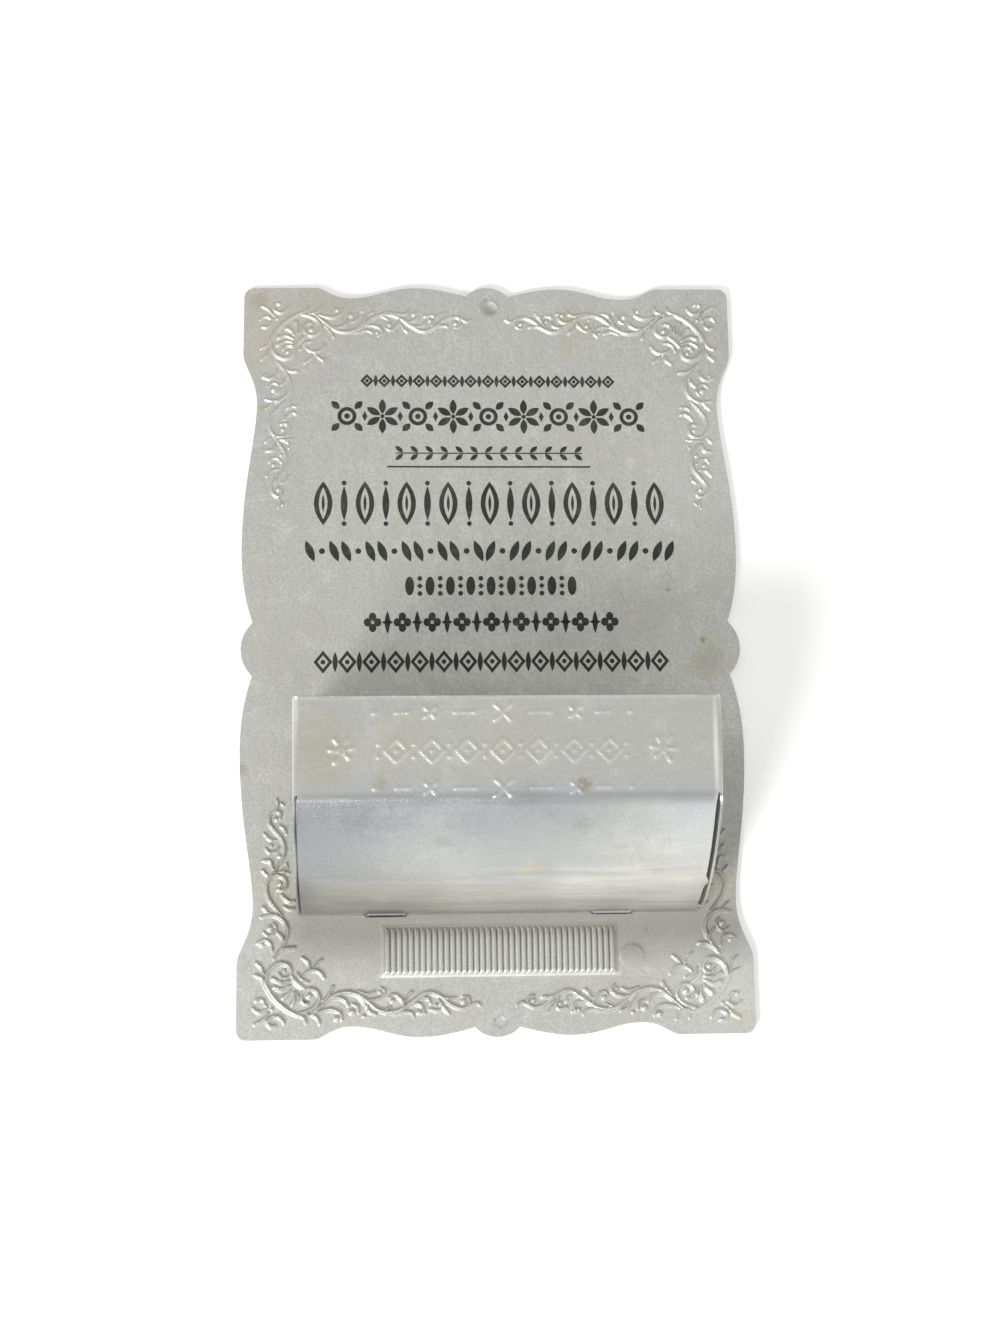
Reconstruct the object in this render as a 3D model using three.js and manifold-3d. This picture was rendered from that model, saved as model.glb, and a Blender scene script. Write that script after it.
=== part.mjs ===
// Wall match holder: a scalloped back plate of pressed sheet and a match pocket folded from one
// blank, whose tabs pass through slots in the plate and are folded flat behind it.
//
// Millimetres. +Z is up, the front faces -Y, and the origin is the middle of the plate's height
// and width on the wall plane, which the backs of the folded tabs touch.

import * as THREE from 'three';
import { mergeVertices } from 'three/addons/utils/BufferGeometryUtils.js';
import Module from 'manifold-3d';

const wasm = await Module();
wasm.setup();

// Both pieces are the same sheet, and a tab clears its slot and the plate by the same play
const sheet = 0.4;
const play = 0.3;

// Back plate outline: corner lugs, long swells and a small bump in the middle of every side.
// Each point has its distance along the edge from the edge's middle and its depth in from it.
const plateHeight = 127;
const lugHalfWidth = 41.7;
const lugCornerRadius = 1.6;
const topLugLength = 12.1;
const sideLugLength = 12;
const topDip = { along: 23.3, depth: 2.0 };
const topSwell = { along: 12, depth: 0.15 };
const topCusp = { along: 3.6, depth: 1.6 };
const sideWaist = { along: 42.3, depth: 2.5 };
const sideSwell = { along: 17, depth: 0.15 };
const sideCusp = { along: 4.5, depth: 2.1 };
const cuspHandleDepth = 0.5;
const curveSteps = 9;

// Where the two handles of each curve stand between its ends, from the first to the second
const handles = {
  topCusp: [0.35, 0.7],
  topDip: [0.45, 0.62],
  topLug: [0.55, 0.7],
  sideLug: [0.22, 0.5],
  sideSwell: [0.23, 0.55],
  sideCusp: [0.45, 0.78],
};

// The press set the holes, the striker and the slots a little right of the blank's middle
const pressShift = 0.5;
const topNail = { inset: 3.6, radius: 1.4 };
const bottomNail = { inset: 2.4, radius: 0.9 };
const nailHoleSteps = 16;

// Striker: a raised patch of fine upright ribs under the pocket
const ribCount = 39;
const ribPitch = 0.955;
const ribHeight = 0.45;
const strikerRise = 0.4;
const strikerHeight = 7.45;
const strikerAboveBottom = 13.85;
const strikerWall = 0.5;
const strikerSink = 0.05;
const strikerLap = 0.4;
const stepsPerRib = 6;

// Match pocket, with heights from the plate's bottom edge up and depths from its front face
const pocketHalfWidth = 32.8;
const floorAboveBottom = 19.9;
const creaseAboveFloor = 15.1;
const creaseDepth = 25.4;
const panelHeight = 15.7;
const panelLean = 0.8;
const cornerBendRadius = 0.9;
const creaseSetback = 1.1;
const panelOverlap = 3.3;
const floorRadius = 38;
const floorSideGap = 0.5;
const floorSteps = 14;
// The panel and its flaps were folded a little to the right of the floor between them
const panelShift = 0.3;

// Tabs of the pocket: two along the floor's edge and one on each side flap
const baseTabSpacing = 36.6;
const baseTabWidth = 6.8;
const baseTabShoulder = 0.7;
const baseTabLeg = 4;
const baseTabBendRadius = 1.2;
const flapTabAboveCrease = 4.5;
const flapTabHeight = 8;
const flapTabLeg = 4;
const flapTabBendRadius = 0.8;
const tabTipCut = 0.8;
const bendSteps = 6;

// Depth of each layer, from the wall plane forwards
const wallY = 0;
const legY = wallY - sheet / 2;
const plateRearY = wallY - sheet - play;
const plateFrontY = plateRearY - sheet;
const cutMargin = 2;
const punchFrom = plateFrontY - cutMargin;
const punchTo = plateRearY + cutMargin;
const mergeTolerance = 1e-5;

// Height of each feature, stacked up from the plate's bottom edge
const plateTop = plateHeight / 2;
const plateBottom = -plateHeight / 2;
const strikerMiddle = plateBottom + strikerAboveBottom;
const floorBase = plateBottom + floorAboveBottom;
const creaseHeight = floorBase + creaseAboveFloor;
const panelTop = creaseHeight + panelHeight;
const flapTabMiddle = creaseHeight + flapTabAboveCrease;

// Closed three.js geometry to solid, and back
function solidFrom(geometry) {
  geometry.deleteAttribute('normal');
  geometry.deleteAttribute('uv');
  const merged = mergeVertices(geometry, mergeTolerance);
  const mesh = new wasm.Mesh({
    numProp: 3,
    vertProperties: Float32Array.from(merged.attributes.position.array),
    triVerts: Uint32Array.from(merged.index.array),
  });
  return new wasm.Manifold(mesh);
}

function geometryFrom(solid) {
  const mesh = solid.getMesh();
  const geometry = new THREE.BufferGeometry();
  geometry.setAttribute('position', new THREE.BufferAttribute(mesh.vertProperties, mesh.numProp));
  geometry.setIndex(new THREE.BufferAttribute(mesh.triVerts, 1));
  geometry.computeVertexNormals();
  return geometry;
}

// Prisms along each axis, from shapes drawn in plan (x, y), from the side (y, z) or in front (x, z)
function extrude(shape, length, steps = 1) {
  return new THREE.ExtrudeGeometry(shape, {
    depth: length, steps, bevelEnabled: false, curveSegments: curveSteps,
  });
}

function prismUp(shape, low, high, steps = 1) {
  return extrude(shape, high - low, steps).translate(0, 0, low);
}

function prismAcross(shape, left, right) {
  const turn = new THREE.Matrix4().makeBasis(
    new THREE.Vector3(0, 1, 0), new THREE.Vector3(0, 0, 1), new THREE.Vector3(1, 0, 0));
  return extrude(shape, right - left).applyMatrix4(turn).translate(left, 0, 0);
}

function prismBack(shape, front, rear) {
  return extrude(shape, rear - front).rotateX(Math.PI / 2).translate(0, rear, 0);
}

// A punch drawn in front view, right through the plate
function punch(shape) {
  return solidFrom(prismBack(shape, punchFrom, punchTo));
}

function rectangle(left, low, right, high) {
  const corners = [[left, low], [right, low], [right, high], [left, high]];
  return new THREE.Shape(corners.map(([x, y]) => new THREE.Vector2(x, y)));
}

// Points on an arc, both ends included
function arcPoints(centre, radius, from, to, steps) {
  return Array.from({ length: steps + 1 }, (_, i) => {
    const angle = from + (to - from) * i / steps;
    return new THREE.Vector2(Math.cos(angle), Math.sin(angle)).multiplyScalar(radius).add(centre);
  });
}

// A line through corners, with each inner corner bent to its own radius
function bentLine(corners, radii) {
  const points = [corners[0]];
  for (let i = 1; i < corners.length - 1; i += 1) {
    const corner = corners[i];
    const back = corners[i - 1].clone().sub(corner).normalize();
    const ahead = corners[i + 1].clone().sub(corner).normalize();
    const halfOpening = Math.acos(back.dot(ahead)) / 2;
    const setback = radii[i - 1] / Math.tan(halfOpening);
    const inward = back.clone().add(ahead).normalize();
    const centre = corner.clone().addScaledVector(inward, radii[i - 1] / Math.sin(halfOpening));
    const start = corner.clone().addScaledVector(back, setback).sub(centre).angle();
    const end = corner.clone().addScaledVector(ahead, setback).sub(centre).angle();
    const turn = Math.atan2(Math.sin(end - start), Math.cos(end - start));
    points.push(...arcPoints(centre, radii[i - 1], start, start + turn, bendSteps));
  }
  points.push(corners[corners.length - 1]);
  return points;
}

// One face of a sheet whose middle layer follows a line: offset by a distance to the left
function offsetLine(line, distance) {
  return line.map((point, i) => {
    const before = point.clone().sub(line[Math.max(i - 1, 0)]);
    const after = line[Math.min(i + 1, line.length - 1)].clone().sub(point);
    const first = (before.length() > 0 ? before : after).normalize();
    const second = (after.length() > 0 ? after : before).normalize();
    const along = first.clone().add(second).normalize();
    const left = new THREE.Vector2(-along.y, along.x);
    return point.clone().addScaledVector(left, distance / along.dot(first));
  });
}

function sheetShape(line) {
  return new THREE.Shape([
    ...offsetLine(line, sheet / 2),
    ...offsetLine(line, -sheet / 2).reverse(),
  ]);
}

// The plate's outline is one quarter, drawn from the top middle to the right middle and mirrored
function quarterOutline() {
  const topPoint = ({ along, depth }) => new THREE.Vector2(along, plateTop - depth);
  const sidePoint = ({ along, depth }) => new THREE.Vector2(lugHalfWidth - depth, along);
  const topLug = { along: lugHalfWidth - topLugLength, depth: 0 };
  const sideLug = { along: plateTop - sideLugLength, depth: 0 };
  const topCuspHandle = { ...topCusp, depth: topCusp.depth * cuspHandleDepth };
  const sideCuspHandle = { ...sideCusp, depth: sideCusp.depth * cuspHandleDepth };
  const quarter = new THREE.Path();

  // A curve on to the next point, with handles at their shares of the way and at each end's depth
  const curve = (place, start, end, shares, target) => {
    const between = (share) => start.along + (end.along - start.along) * share;
    const first = place({ along: between(shares[0]), depth: start.depth });
    const second = place({ along: between(shares[1]), depth: end.depth });
    const last = place(target);
    quarter.bezierCurveTo(first.x, first.y, second.x, second.y, last.x, last.y);
  };

  const topBumpRadius = (topCusp.along ** 2 + topCusp.depth ** 2) / (2 * topCusp.depth);
  quarter.moveTo(0, plateTop);
  quarter.absarc(0, plateTop - topBumpRadius, topBumpRadius,
    Math.PI / 2, Math.acos(topCusp.along / topBumpRadius), true);
  curve(topPoint, topCuspHandle, topSwell, handles.topCusp, topSwell);
  curve(topPoint, topSwell, topDip, handles.topDip, topDip);
  curve(topPoint, topDip, topLug, handles.topLug, topLug);
  quarter.lineTo(lugHalfWidth - lugCornerRadius, plateTop);
  quarter.absarc(lugHalfWidth - lugCornerRadius, plateTop - lugCornerRadius, lugCornerRadius,
    Math.PI / 2, 0, true);
  quarter.lineTo(lugHalfWidth, sideLug.along);
  curve(sidePoint, sideLug, sideWaist, handles.sideLug, sideWaist);
  curve(sidePoint, sideWaist, sideSwell, handles.sideSwell, sideSwell);
  curve(sidePoint, sideSwell, sideCuspHandle, handles.sideCusp, sideCusp);
  const sideRise = sideCusp.depth - sideSwell.depth;
  const sideBumpRadius = (sideCusp.along ** 2 + sideRise ** 2) / (2 * sideRise);
  quarter.absarc(lugHalfWidth - sideSwell.depth - sideBumpRadius, 0, sideBumpRadius,
    Math.asin(sideCusp.along / sideBumpRadius), 0, true);
  return quarter.getPoints(curveSteps);
}

function plateOutline() {
  const quarter = quarterOutline();
  const lowerRight = quarter.map((p) => new THREE.Vector2(p.x, -p.y)).reverse();
  const rightHalf = [...quarter, ...lowerRight.slice(1)];
  const leftHalf = rightHalf.map((p) => new THREE.Vector2(-p.x, p.y)).reverse();
  return new THREE.Shape([...rightHalf, ...leftHalf.slice(1, -1)]);
}

// Side view of the pocket's floor: an arc from the crease to the plate, struck from one centre
const creasePoint = new THREE.Vector2(plateFrontY - creaseDepth, creaseHeight);
const basePoint = new THREE.Vector2(plateFrontY, floorBase);
const floorCentre = (() => {
  const chord = basePoint.clone().sub(creasePoint);
  const inward = new THREE.Vector2(-chord.y, chord.x).normalize();
  const reach = Math.sqrt(floorRadius ** 2 - chord.lengthSq() / 4);
  return creasePoint.clone().add(basePoint).multiplyScalar(0.5).addScaledVector(inward, reach);
})();

// The sheet's middle layer from the panel, round the crease, along the floor, through the plate
// and down behind it
function floorLine() {
  const middleRadius = floorRadius - sheet / 2;
  const up = new THREE.Vector2(-panelLean, panelTop - creaseHeight).normalize();
  const panelFoot = creasePoint.clone().addScaledVector(new THREE.Vector2(up.y, -up.x), sheet / 2);
  const creaseAngle = creasePoint.clone().sub(floorCentre).angle();
  const arcStart = creaseAngle + creaseSetback / middleRadius;
  const bend = new THREE.Vector2(legY - baseTabBendRadius, 0);
  const toBend = middleRadius + baseTabBendRadius;
  bend.y = floorCentre.y - Math.sqrt(toBend ** 2 - (bend.x - floorCentre.x) ** 2);
  const bendAngle = bend.clone().sub(floorCentre).angle();
  const arc = arcPoints(floorCentre, middleRadius, arcStart, bendAngle, floorSteps);
  const crease = new THREE.QuadraticBezierCurve(
    panelFoot.clone().addScaledVector(up, creaseSetback), panelFoot, arc[0]);
  const tabBend = arcPoints(bend, baseTabBendRadius, bendAngle - Math.PI, 0, bendSteps);
  return [
    panelFoot.clone().addScaledVector(up, panelOverlap),
    ...crease.getPoints(bendSteps),
    ...arc.slice(1),
    ...tabBend.slice(1),
    new THREE.Vector2(legY, bend.y - baseTabLeg),
  ];
}

const floorMiddle = floorLine();

// Highest and lowest that the folded sheet gets between the plate's two faces
function heightInPlate() {
  const faces = [offsetLine(floorMiddle, sheet / 2), offsetLine(floorMiddle, -sheet / 2)];
  const heights = [];
  for (const face of faces) {
    for (let i = 1; i < face.length; i += 1) {
      for (const y of [plateFrontY, plateRearY]) {
        const share = (y - face[i - 1].x) / (face[i].x - face[i - 1].x);
        if (share >= 0 && share <= 1) heights.push(face[i - 1].clone().lerp(face[i], share).y);
      }
    }
  }
  return { low: Math.min(...heights), high: Math.max(...heights) };
}

const baseTabHeights = heightInPlate();
const baseTabPlaces = [-1, 1].map((side) => pressShift + side * baseTabSpacing / 2);
const flapTabRange = [flapTabMiddle - flapTabHeight / 2, flapTabMiddle + flapTabHeight / 2];

// Front view of a base tab, or of its outline spread by the play: full width at the floor's
// edge, shoulders at 45 degrees, then a narrower tongue
function baseTabShape(middle, spread) {
  const wide = baseTabWidth / 2 + spread;
  const narrow = wide - baseTabShoulder;
  const shoulder = floorBase - spread * Math.tan(Math.PI / 8);
  const tip = floorMiddle[floorMiddle.length - 1].y;
  const right = [
    [wide, baseTabHeights.high + cutMargin], [wide, shoulder],
    [narrow, shoulder - baseTabShoulder], [narrow, tip + tabTipCut],
    [narrow - tabTipCut, tip], [narrow - tabTipCut, tip - cutMargin],
  ];
  const left = right.map(([x, z]) => [-x, z]).reverse();
  return new THREE.Shape([...right, ...left].map(([x, z]) => new THREE.Vector2(middle + x, z)));
}

// Its slot is that outline, spread by the play and cut off above and below the folded sheet
function baseSlot(middle) {
  const opening = rectangle(
    middle - baseTabWidth, baseTabHeights.low - play,
    middle + baseTabWidth, baseTabHeights.high + play);
  return punch(baseTabShape(middle, play)).intersect(punch(opening));
}

function flapSlot(side) {
  const middle = pressShift + panelShift;
  const outer = middle + side * (pocketHalfWidth + play);
  const inner = middle + side * (pocketHalfWidth - sheet - play);
  const [low, high] = flapTabRange;
  return punch(rectangle(
    Math.min(outer, inner), low - play, Math.max(outer, inner), high + play));
}

function nailHole(height, radius) {
  const centre = new THREE.Vector2(pressShift, height);
  const rim = arcPoints(centre, radius, 0, 2 * Math.PI, nailHoleSteps);
  return punch(new THREE.Shape(rim.slice(1)));
}

// Ribbed striker: the plate's sheet pressed forward in fine waves, flat again round its rim
const strikerHalfWidth = ribCount * ribPitch / 2;

function ribWave(x) {
  const inside = strikerHalfWidth - Math.abs(x);
  if (inside <= 0) return 0;
  const wave = strikerRise + ribHeight * (1 - Math.cos(2 * Math.PI * inside / ribPitch)) / 2;
  return wave * Math.min(1, inside / strikerWall);
}

function strikerPatch() {
  const count = ribCount * stepsPerRib;
  const front = [];
  for (let i = 0; i <= count; i += 1) {
    front.push(-strikerHalfWidth + 2 * strikerHalfWidth * i / count);
  }
  front.unshift(-strikerHalfWidth - strikerLap);
  front.push(strikerHalfWidth + strikerLap);
  const faceY = (x, base) => base + strikerSink - ribWave(x);
  const shape = new THREE.Shape([
    ...front.map((x) => new THREE.Vector2(x, faceY(x, plateFrontY))),
    ...front.map((x) => new THREE.Vector2(x, faceY(x, plateRearY))).reverse(),
  ]);
  const levels = [
    { z: -strikerHeight / 2 - strikerLap, rise: 0 },
    { z: -strikerHeight / 2, rise: 0 },
    { z: -strikerHeight / 2 + strikerWall, rise: 1 },
    { z: strikerHeight / 2 - strikerWall, rise: 1 },
    { z: strikerHeight / 2, rise: 0 },
    { z: strikerHeight / 2 + strikerLap, rise: 0 },
  ];
  const patch = prismUp(shape, 0, levels.length - 1, levels.length - 1);
  const place = patch.attributes.position;
  for (let i = 0; i < place.count; i += 1) {
    const level = levels[Math.round(place.getZ(i))];
    const x = place.getX(i);
    place.setXYZ(i, x, place.getY(i) + ribWave(x) * (1 - level.rise), level.z);
  }
  return patch.translate(pressShift, 0, strikerMiddle);
}

function strikerWindow() {
  const halfHeight = strikerHeight / 2;
  return punch(rectangle(
    pressShift - strikerHalfWidth, strikerMiddle - halfHeight,
    pressShift + strikerHalfWidth, strikerMiddle + halfHeight));
}

function backPlate() {
  const blank = solidFrom(prismBack(plateOutline(), plateFrontY, plateRearY));
  const holes = [
    nailHole(plateTop - topNail.inset, topNail.radius),
    nailHole(plateBottom + bottomNail.inset, bottomNail.radius),
    strikerWindow(),
    ...baseTabPlaces.map(baseSlot), flapSlot(-1), flapSlot(1)];
  const punched = holes.reduce((plate, hole) => plate.subtract(hole), blank);
  return geometryFrom(punched.add(solidFrom(strikerPatch())));
}

// Pocket, upper part: front panel, two side flaps and the flaps' tabs, folded as one channel
function channelLine() {
  const x = pocketHalfWidth - sheet / 2;
  const panelY = plateFrontY - creaseDepth + sheet / 2;
  const tip = x - flapTabBendRadius - flapTabLeg;
  const corners = [[-tip, legY], [-x, legY], [-x, panelY], [x, panelY], [x, legY], [tip, legY]];
  return bentLine(
    corners.map(([across, y]) => new THREE.Vector2(across, y)),
    [flapTabBendRadius, cornerBendRadius, cornerBendRadius, flapTabBendRadius]);
}

function leanForward(geometry) {
  const place = geometry.attributes.position;
  const leanPerHeight = panelLean / (panelTop - creaseHeight) / creaseDepth;
  for (let i = 0; i < place.count; i += 1) {
    const depth = plateFrontY - place.getY(i);
    const lean = Math.max(depth, 0) * leanPerHeight * (place.getZ(i) - creaseHeight);
    place.setY(i, place.getY(i) - lean);
  }
  return geometry;
}

// Side view of what is left of the channel: level top, back edge just off the plate, lower edge
// flush with the floor, and the flap tabs running on through the plate
function channelSilhouette() {
  const outer = offsetLine(floorMiddle, -sheet / 2);
  const backY = plateFrontY - play;
  const frontY = plateFrontY - creaseDepth - panelLean - cutMargin;
  const crease = outer[1];
  const lower = outer.slice(1).filter((p) => p.x < backY);
  const angle = Math.acos((backY - floorCentre.x) / floorRadius);
  const backFoot = new THREE.Vector2(backY, floorCentre.y - floorRadius * Math.sin(angle));
  const [tabLow, tabHigh] = flapTabRange;
  return new THREE.Shape([
    new THREE.Vector2(frontY, crease.y),
    ...lower,
    backFoot,
    new THREE.Vector2(backY, tabLow),
    new THREE.Vector2(wallY + cutMargin, tabLow),
    new THREE.Vector2(wallY + cutMargin, tabHigh),
    new THREE.Vector2(backY, tabHigh),
    new THREE.Vector2(backY, panelTop),
    new THREE.Vector2(frontY, panelTop),
  ]);
}

function pocketChannel() {
  const low = floorMiddle[floorMiddle.length - 1].y;
  const channel = leanForward(prismUp(sheetShape(channelLine()), low, panelTop + cutMargin));
  const across = pocketHalfWidth + cutMargin;
  return solidFrom(channel).intersect(
    solidFrom(prismAcross(channelSilhouette(), -across, across))).translate(panelShift, 0, 0);
}

// Pocket, lower part: the curved floor between the flaps, with its two tabs
function pocketFloor() {
  const halfWidth = pocketHalfWidth - sheet - floorSideGap;
  const strip = solidFrom(prismAcross(sheetShape(floorMiddle), -halfWidth, halfWidth));
  const edgeY = plateFrontY - play;
  const frontY = plateFrontY - creaseDepth - panelLean - cutMargin;
  const lowZ = floorMiddle[floorMiddle.length - 1].y - cutMargin;
  const inFront = solidFrom(prismAcross(
    rectangle(frontY, lowZ, edgeY, panelTop + cutMargin), -pocketHalfWidth, pocketHalfWidth));
  const tabs = baseTabPlaces.map((middle) => solidFrom(
    prismBack(baseTabShape(middle - pressShift, 0), edgeY - play, wallY + cutMargin)));
  return strip.intersect(tabs.reduce((kept, tab) => kept.add(tab), inFront));
}

function matchPocket() {
  const pocket = pocketChannel().add(pocketFloor());
  return geometryFrom(pocket).translate(pressShift, 0, 0);
}

// Dull grey pressed sheet, bare on the plate and a little brighter on the folded pocket
const plateMetal = new THREE.MeshStandardMaterial({
  color: 0xb4b5ae, metalness: 0.7, roughness: 0.55, flatShading: true,
});
const pocketMetal = new THREE.MeshStandardMaterial({
  color: 0xbcbdb8, metalness: 0.75, roughness: 0.45, flatShading: true,
});

function piece(name, geometry, material) {
  const mesh = new THREE.Mesh(geometry, material);
  mesh.name = name;
  return mesh;
}

const holder = new THREE.Group();
holder.add(
  piece('back_plate', backPlate(), plateMetal),
  piece('match_pocket', matchPocket(), pocketMetal));

export default holder;
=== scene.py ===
# %% [markdown]
# Wall match holder: a scalloped back plate of thin grey sheet with scrolls pressed into it, and a
# pocket for matches folded from a second sheet. This script gives it its surfaces, so the first
# thing it does is to load that frame and keep its box.

# %% Load the frame
import math

import bpy
import numpy as np
from mathutils import Matrix, Vector
from mathutils.geometry import delaunay_2d_cdt


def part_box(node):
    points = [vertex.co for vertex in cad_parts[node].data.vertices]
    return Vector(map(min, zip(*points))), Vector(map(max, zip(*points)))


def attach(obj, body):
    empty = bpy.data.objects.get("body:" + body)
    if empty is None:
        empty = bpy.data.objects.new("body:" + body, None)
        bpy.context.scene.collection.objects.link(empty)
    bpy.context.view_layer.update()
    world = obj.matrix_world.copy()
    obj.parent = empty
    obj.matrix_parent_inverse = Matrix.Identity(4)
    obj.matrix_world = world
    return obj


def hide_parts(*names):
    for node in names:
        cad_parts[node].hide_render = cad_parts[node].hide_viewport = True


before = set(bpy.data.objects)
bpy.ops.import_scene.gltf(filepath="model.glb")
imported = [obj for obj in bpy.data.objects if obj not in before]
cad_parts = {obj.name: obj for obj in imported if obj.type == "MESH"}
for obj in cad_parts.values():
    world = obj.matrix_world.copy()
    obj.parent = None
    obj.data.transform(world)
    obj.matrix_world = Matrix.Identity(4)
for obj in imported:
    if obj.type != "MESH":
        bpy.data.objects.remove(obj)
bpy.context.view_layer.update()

MM = 0.001
plate_low, plate_high = (np.array(corner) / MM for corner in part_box("back_plate"))
pocket_low, pocket_high = (np.array(corner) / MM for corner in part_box("match_pocket"))
print("plate from", plate_low.round(2), "to", plate_high.round(2), "mm")
print("pocket from", pocket_low.round(2), "to", pocket_high.round(2), "mm")

# %% [markdown]
# The holder was photographed lying on its back on white paper, from a little below and to the left of
# its middle. Here the same view looks at it upright against a white wall. A camera could be moved by
# hand until the picture fits. These numbers were worked out from the plate's outline, its holes and the
# pocket instead, because then the depths can be trusted too. A camera needs a place, a direction and a
# lens. Its tall side is the sensor's 36 mm, so the lens is that times the focal length in heights of
# the frame.

# %% Camera
CAMERA_PLACE = Vector((-18.9, -325.8, -68.4)) * MM
CAMERA_AHEAD = Vector((0.0608, 0.9784, 0.1976))
CAMERA_UP = Vector((0.0041, -0.1982, 0.9801))
SENSOR_HEIGHT = 36.0
FOCAL_HEIGHTS = 2000 / 1330


def add_camera():
    data = bpy.data.cameras.new("camera")
    data.sensor_fit = "VERTICAL"
    data.sensor_height = SENSOR_HEIGHT
    data.lens = SENSOR_HEIGHT * FOCAL_HEIGHTS
    data.clip_start = 0.01
    camera = bpy.data.objects.new("camera", data)
    bpy.context.scene.collection.objects.link(camera)
    ahead = CAMERA_AHEAD.normalized()
    right = ahead.cross(CAMERA_UP).normalized()
    up = right.cross(ahead)
    turn = Matrix((right, up, -ahead)).transposed()
    camera.matrix_world = Matrix.Translation(CAMERA_PLACE) @ turn.to_4x4()
    bpy.context.scene.camera = camera
    return camera


camera = add_camera()
print("lens", round(camera.data.lens, 2), "mm")

# %% [markdown]
# Pressed ornament is a height over the flat sheet. Each scroll, leaf or bead is a stroke: a smooth
# curve through a few points. Blender's own curve objects could draw it, but only its points are needed
# here, so a short formula gives them. A Catmull-Rom curve was chosen because it passes through every
# point that it is given, so a stroke can be set down from listed points.

# %% Smooth lines
STROKE_STEP = 0.07


def smooth_line(points):
    """Catmull-Rom curve through the points, in even steps."""
    points = np.array(points, float)
    padded = np.vstack([2 * points[0] - points[1], points, 2 * points[-1] - points[-2]])
    pieces = []
    for before, start, end, after in zip(padded, padded[1:], padded[2:], padded[3:]):
        count = max(2, int(np.linalg.norm(end - start) / STROKE_STEP))
        t = np.linspace(0, 1, count, endpoint=False)[:, None]
        pieces.append(0.5 * (2 * start + (end - before) * t
                             + (2 * before - 5 * start + 4 * end - after) * t ** 2
                             + (3 * start - before - 3 * end + after) * t ** 3))
    return np.vstack(pieces + [points[-1:]])


print("a straight stroke 1 mm long has", len(smooth_line([(0, 0), (1, 0)])), "points")

# %% [markdown]
# All the strokes of one die are drawn into a table of heights, as an engraver cuts them into one block
# of steel, and the sheet's mesh then looks its heights up there. A stroke has a width at its start,
# middle and end, and a rounded top. Where strokes cross, the higher one stays. Softening the table is
# what the sheet's own thickness does: little on the side the die touches, more on the other. A
# displacement modifier with a picture would do as well, but a table can be looked up by the front, the
# rear and the print alike.

# %% A die as a table of heights
TABLE_STEP = 0.05


class Die:
    """A block of steel with strokes cut into it: a table of heights over a rectangle."""

    def __init__(self, left, low, right, high):
        self.left = left
        self.low = low
        self.across = int((right - left) / TABLE_STEP) + 1
        self.upward = int((high - low) / TABLE_STEP) + 1
        self.heights = np.zeros((self.upward, self.across))

    def stroke(self, points, widths, height):
        line = smooth_line(points) if len(points) > 1 else np.array(points, float)
        share = np.linspace(0, 1, len(line))
        half = np.interp(share, np.linspace(0, 1, len(widths)), widths) / 2
        reach = half.max()
        place = (line - (self.left, self.low)) / TABLE_STEP
        first = np.maximum(np.floor(place.min(0) - reach / TABLE_STEP).astype(int), 0)
        last = np.ceil(place.max(0) + reach / TABLE_STEP).astype(int) + 1
        last = np.minimum(last, (self.across, self.upward))
        x = self.left + TABLE_STEP * np.arange(first[0], last[0])
        z = self.low + TABLE_STEP * np.arange(first[1], last[1])
        nearest = np.full((len(z), len(x)), np.inf)
        for (px, pz), radius in zip(line, half):
            away = ((x - px)[None, :] ** 2 + (z - pz)[:, None] ** 2) / radius ** 2
            np.minimum(nearest, away, out=nearest)
        rounded = height * 0.5 * (1 + np.cos(np.pi * np.sqrt(np.minimum(nearest, 1))))
        window = self.heights[first[1]:last[1], first[0]:last[0]]
        np.maximum(window, rounded, out=window)

    def soften(self, passes):
        """A copy of the heights, each pass averaged with its neighbours."""
        heights = self.heights.copy()
        for _ in range(passes):
            heights[1:-1] = (heights[:-2] + 2 * heights[1:-1] + heights[2:]) / 4
            heights[:, 1:-1] = (heights[:, :-2] + 2 * heights[:, 1:-1] + heights[:, 2:]) / 4
        return heights

    def look_up(self, heights, x, z):
        across = np.clip((x - self.left) / TABLE_STEP, 0, self.across - 1.001)
        upward = np.clip((z - self.low) / TABLE_STEP, 0, self.upward - 1.001)
        column = across.astype(int)
        row = upward.astype(int)
        right = across - column
        up = upward - row
        below = heights[row, column] * (1 - right) + heights[row, column + 1] * right
        above = heights[row + 1, column] * (1 - right) + heights[row + 1, column + 1] * right
        return below * (1 - up) + above * up


print("a die holds", round(1 / TABLE_STEP) ** 2, "heights in each square millimetre")

# %% [markdown]
# One corner's scrollwork is drawn once, and the press mirrors it into all four corners. Places are
# millimetres outwards from the plate's middle, sideways and up or down. It starts with a large C
# scroll round a shell, with a curl at each end, and sprigs inside and outside it. Sculpting could do
# this too, but strokes keep every corner the same and can be moved by changing a number.

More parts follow.
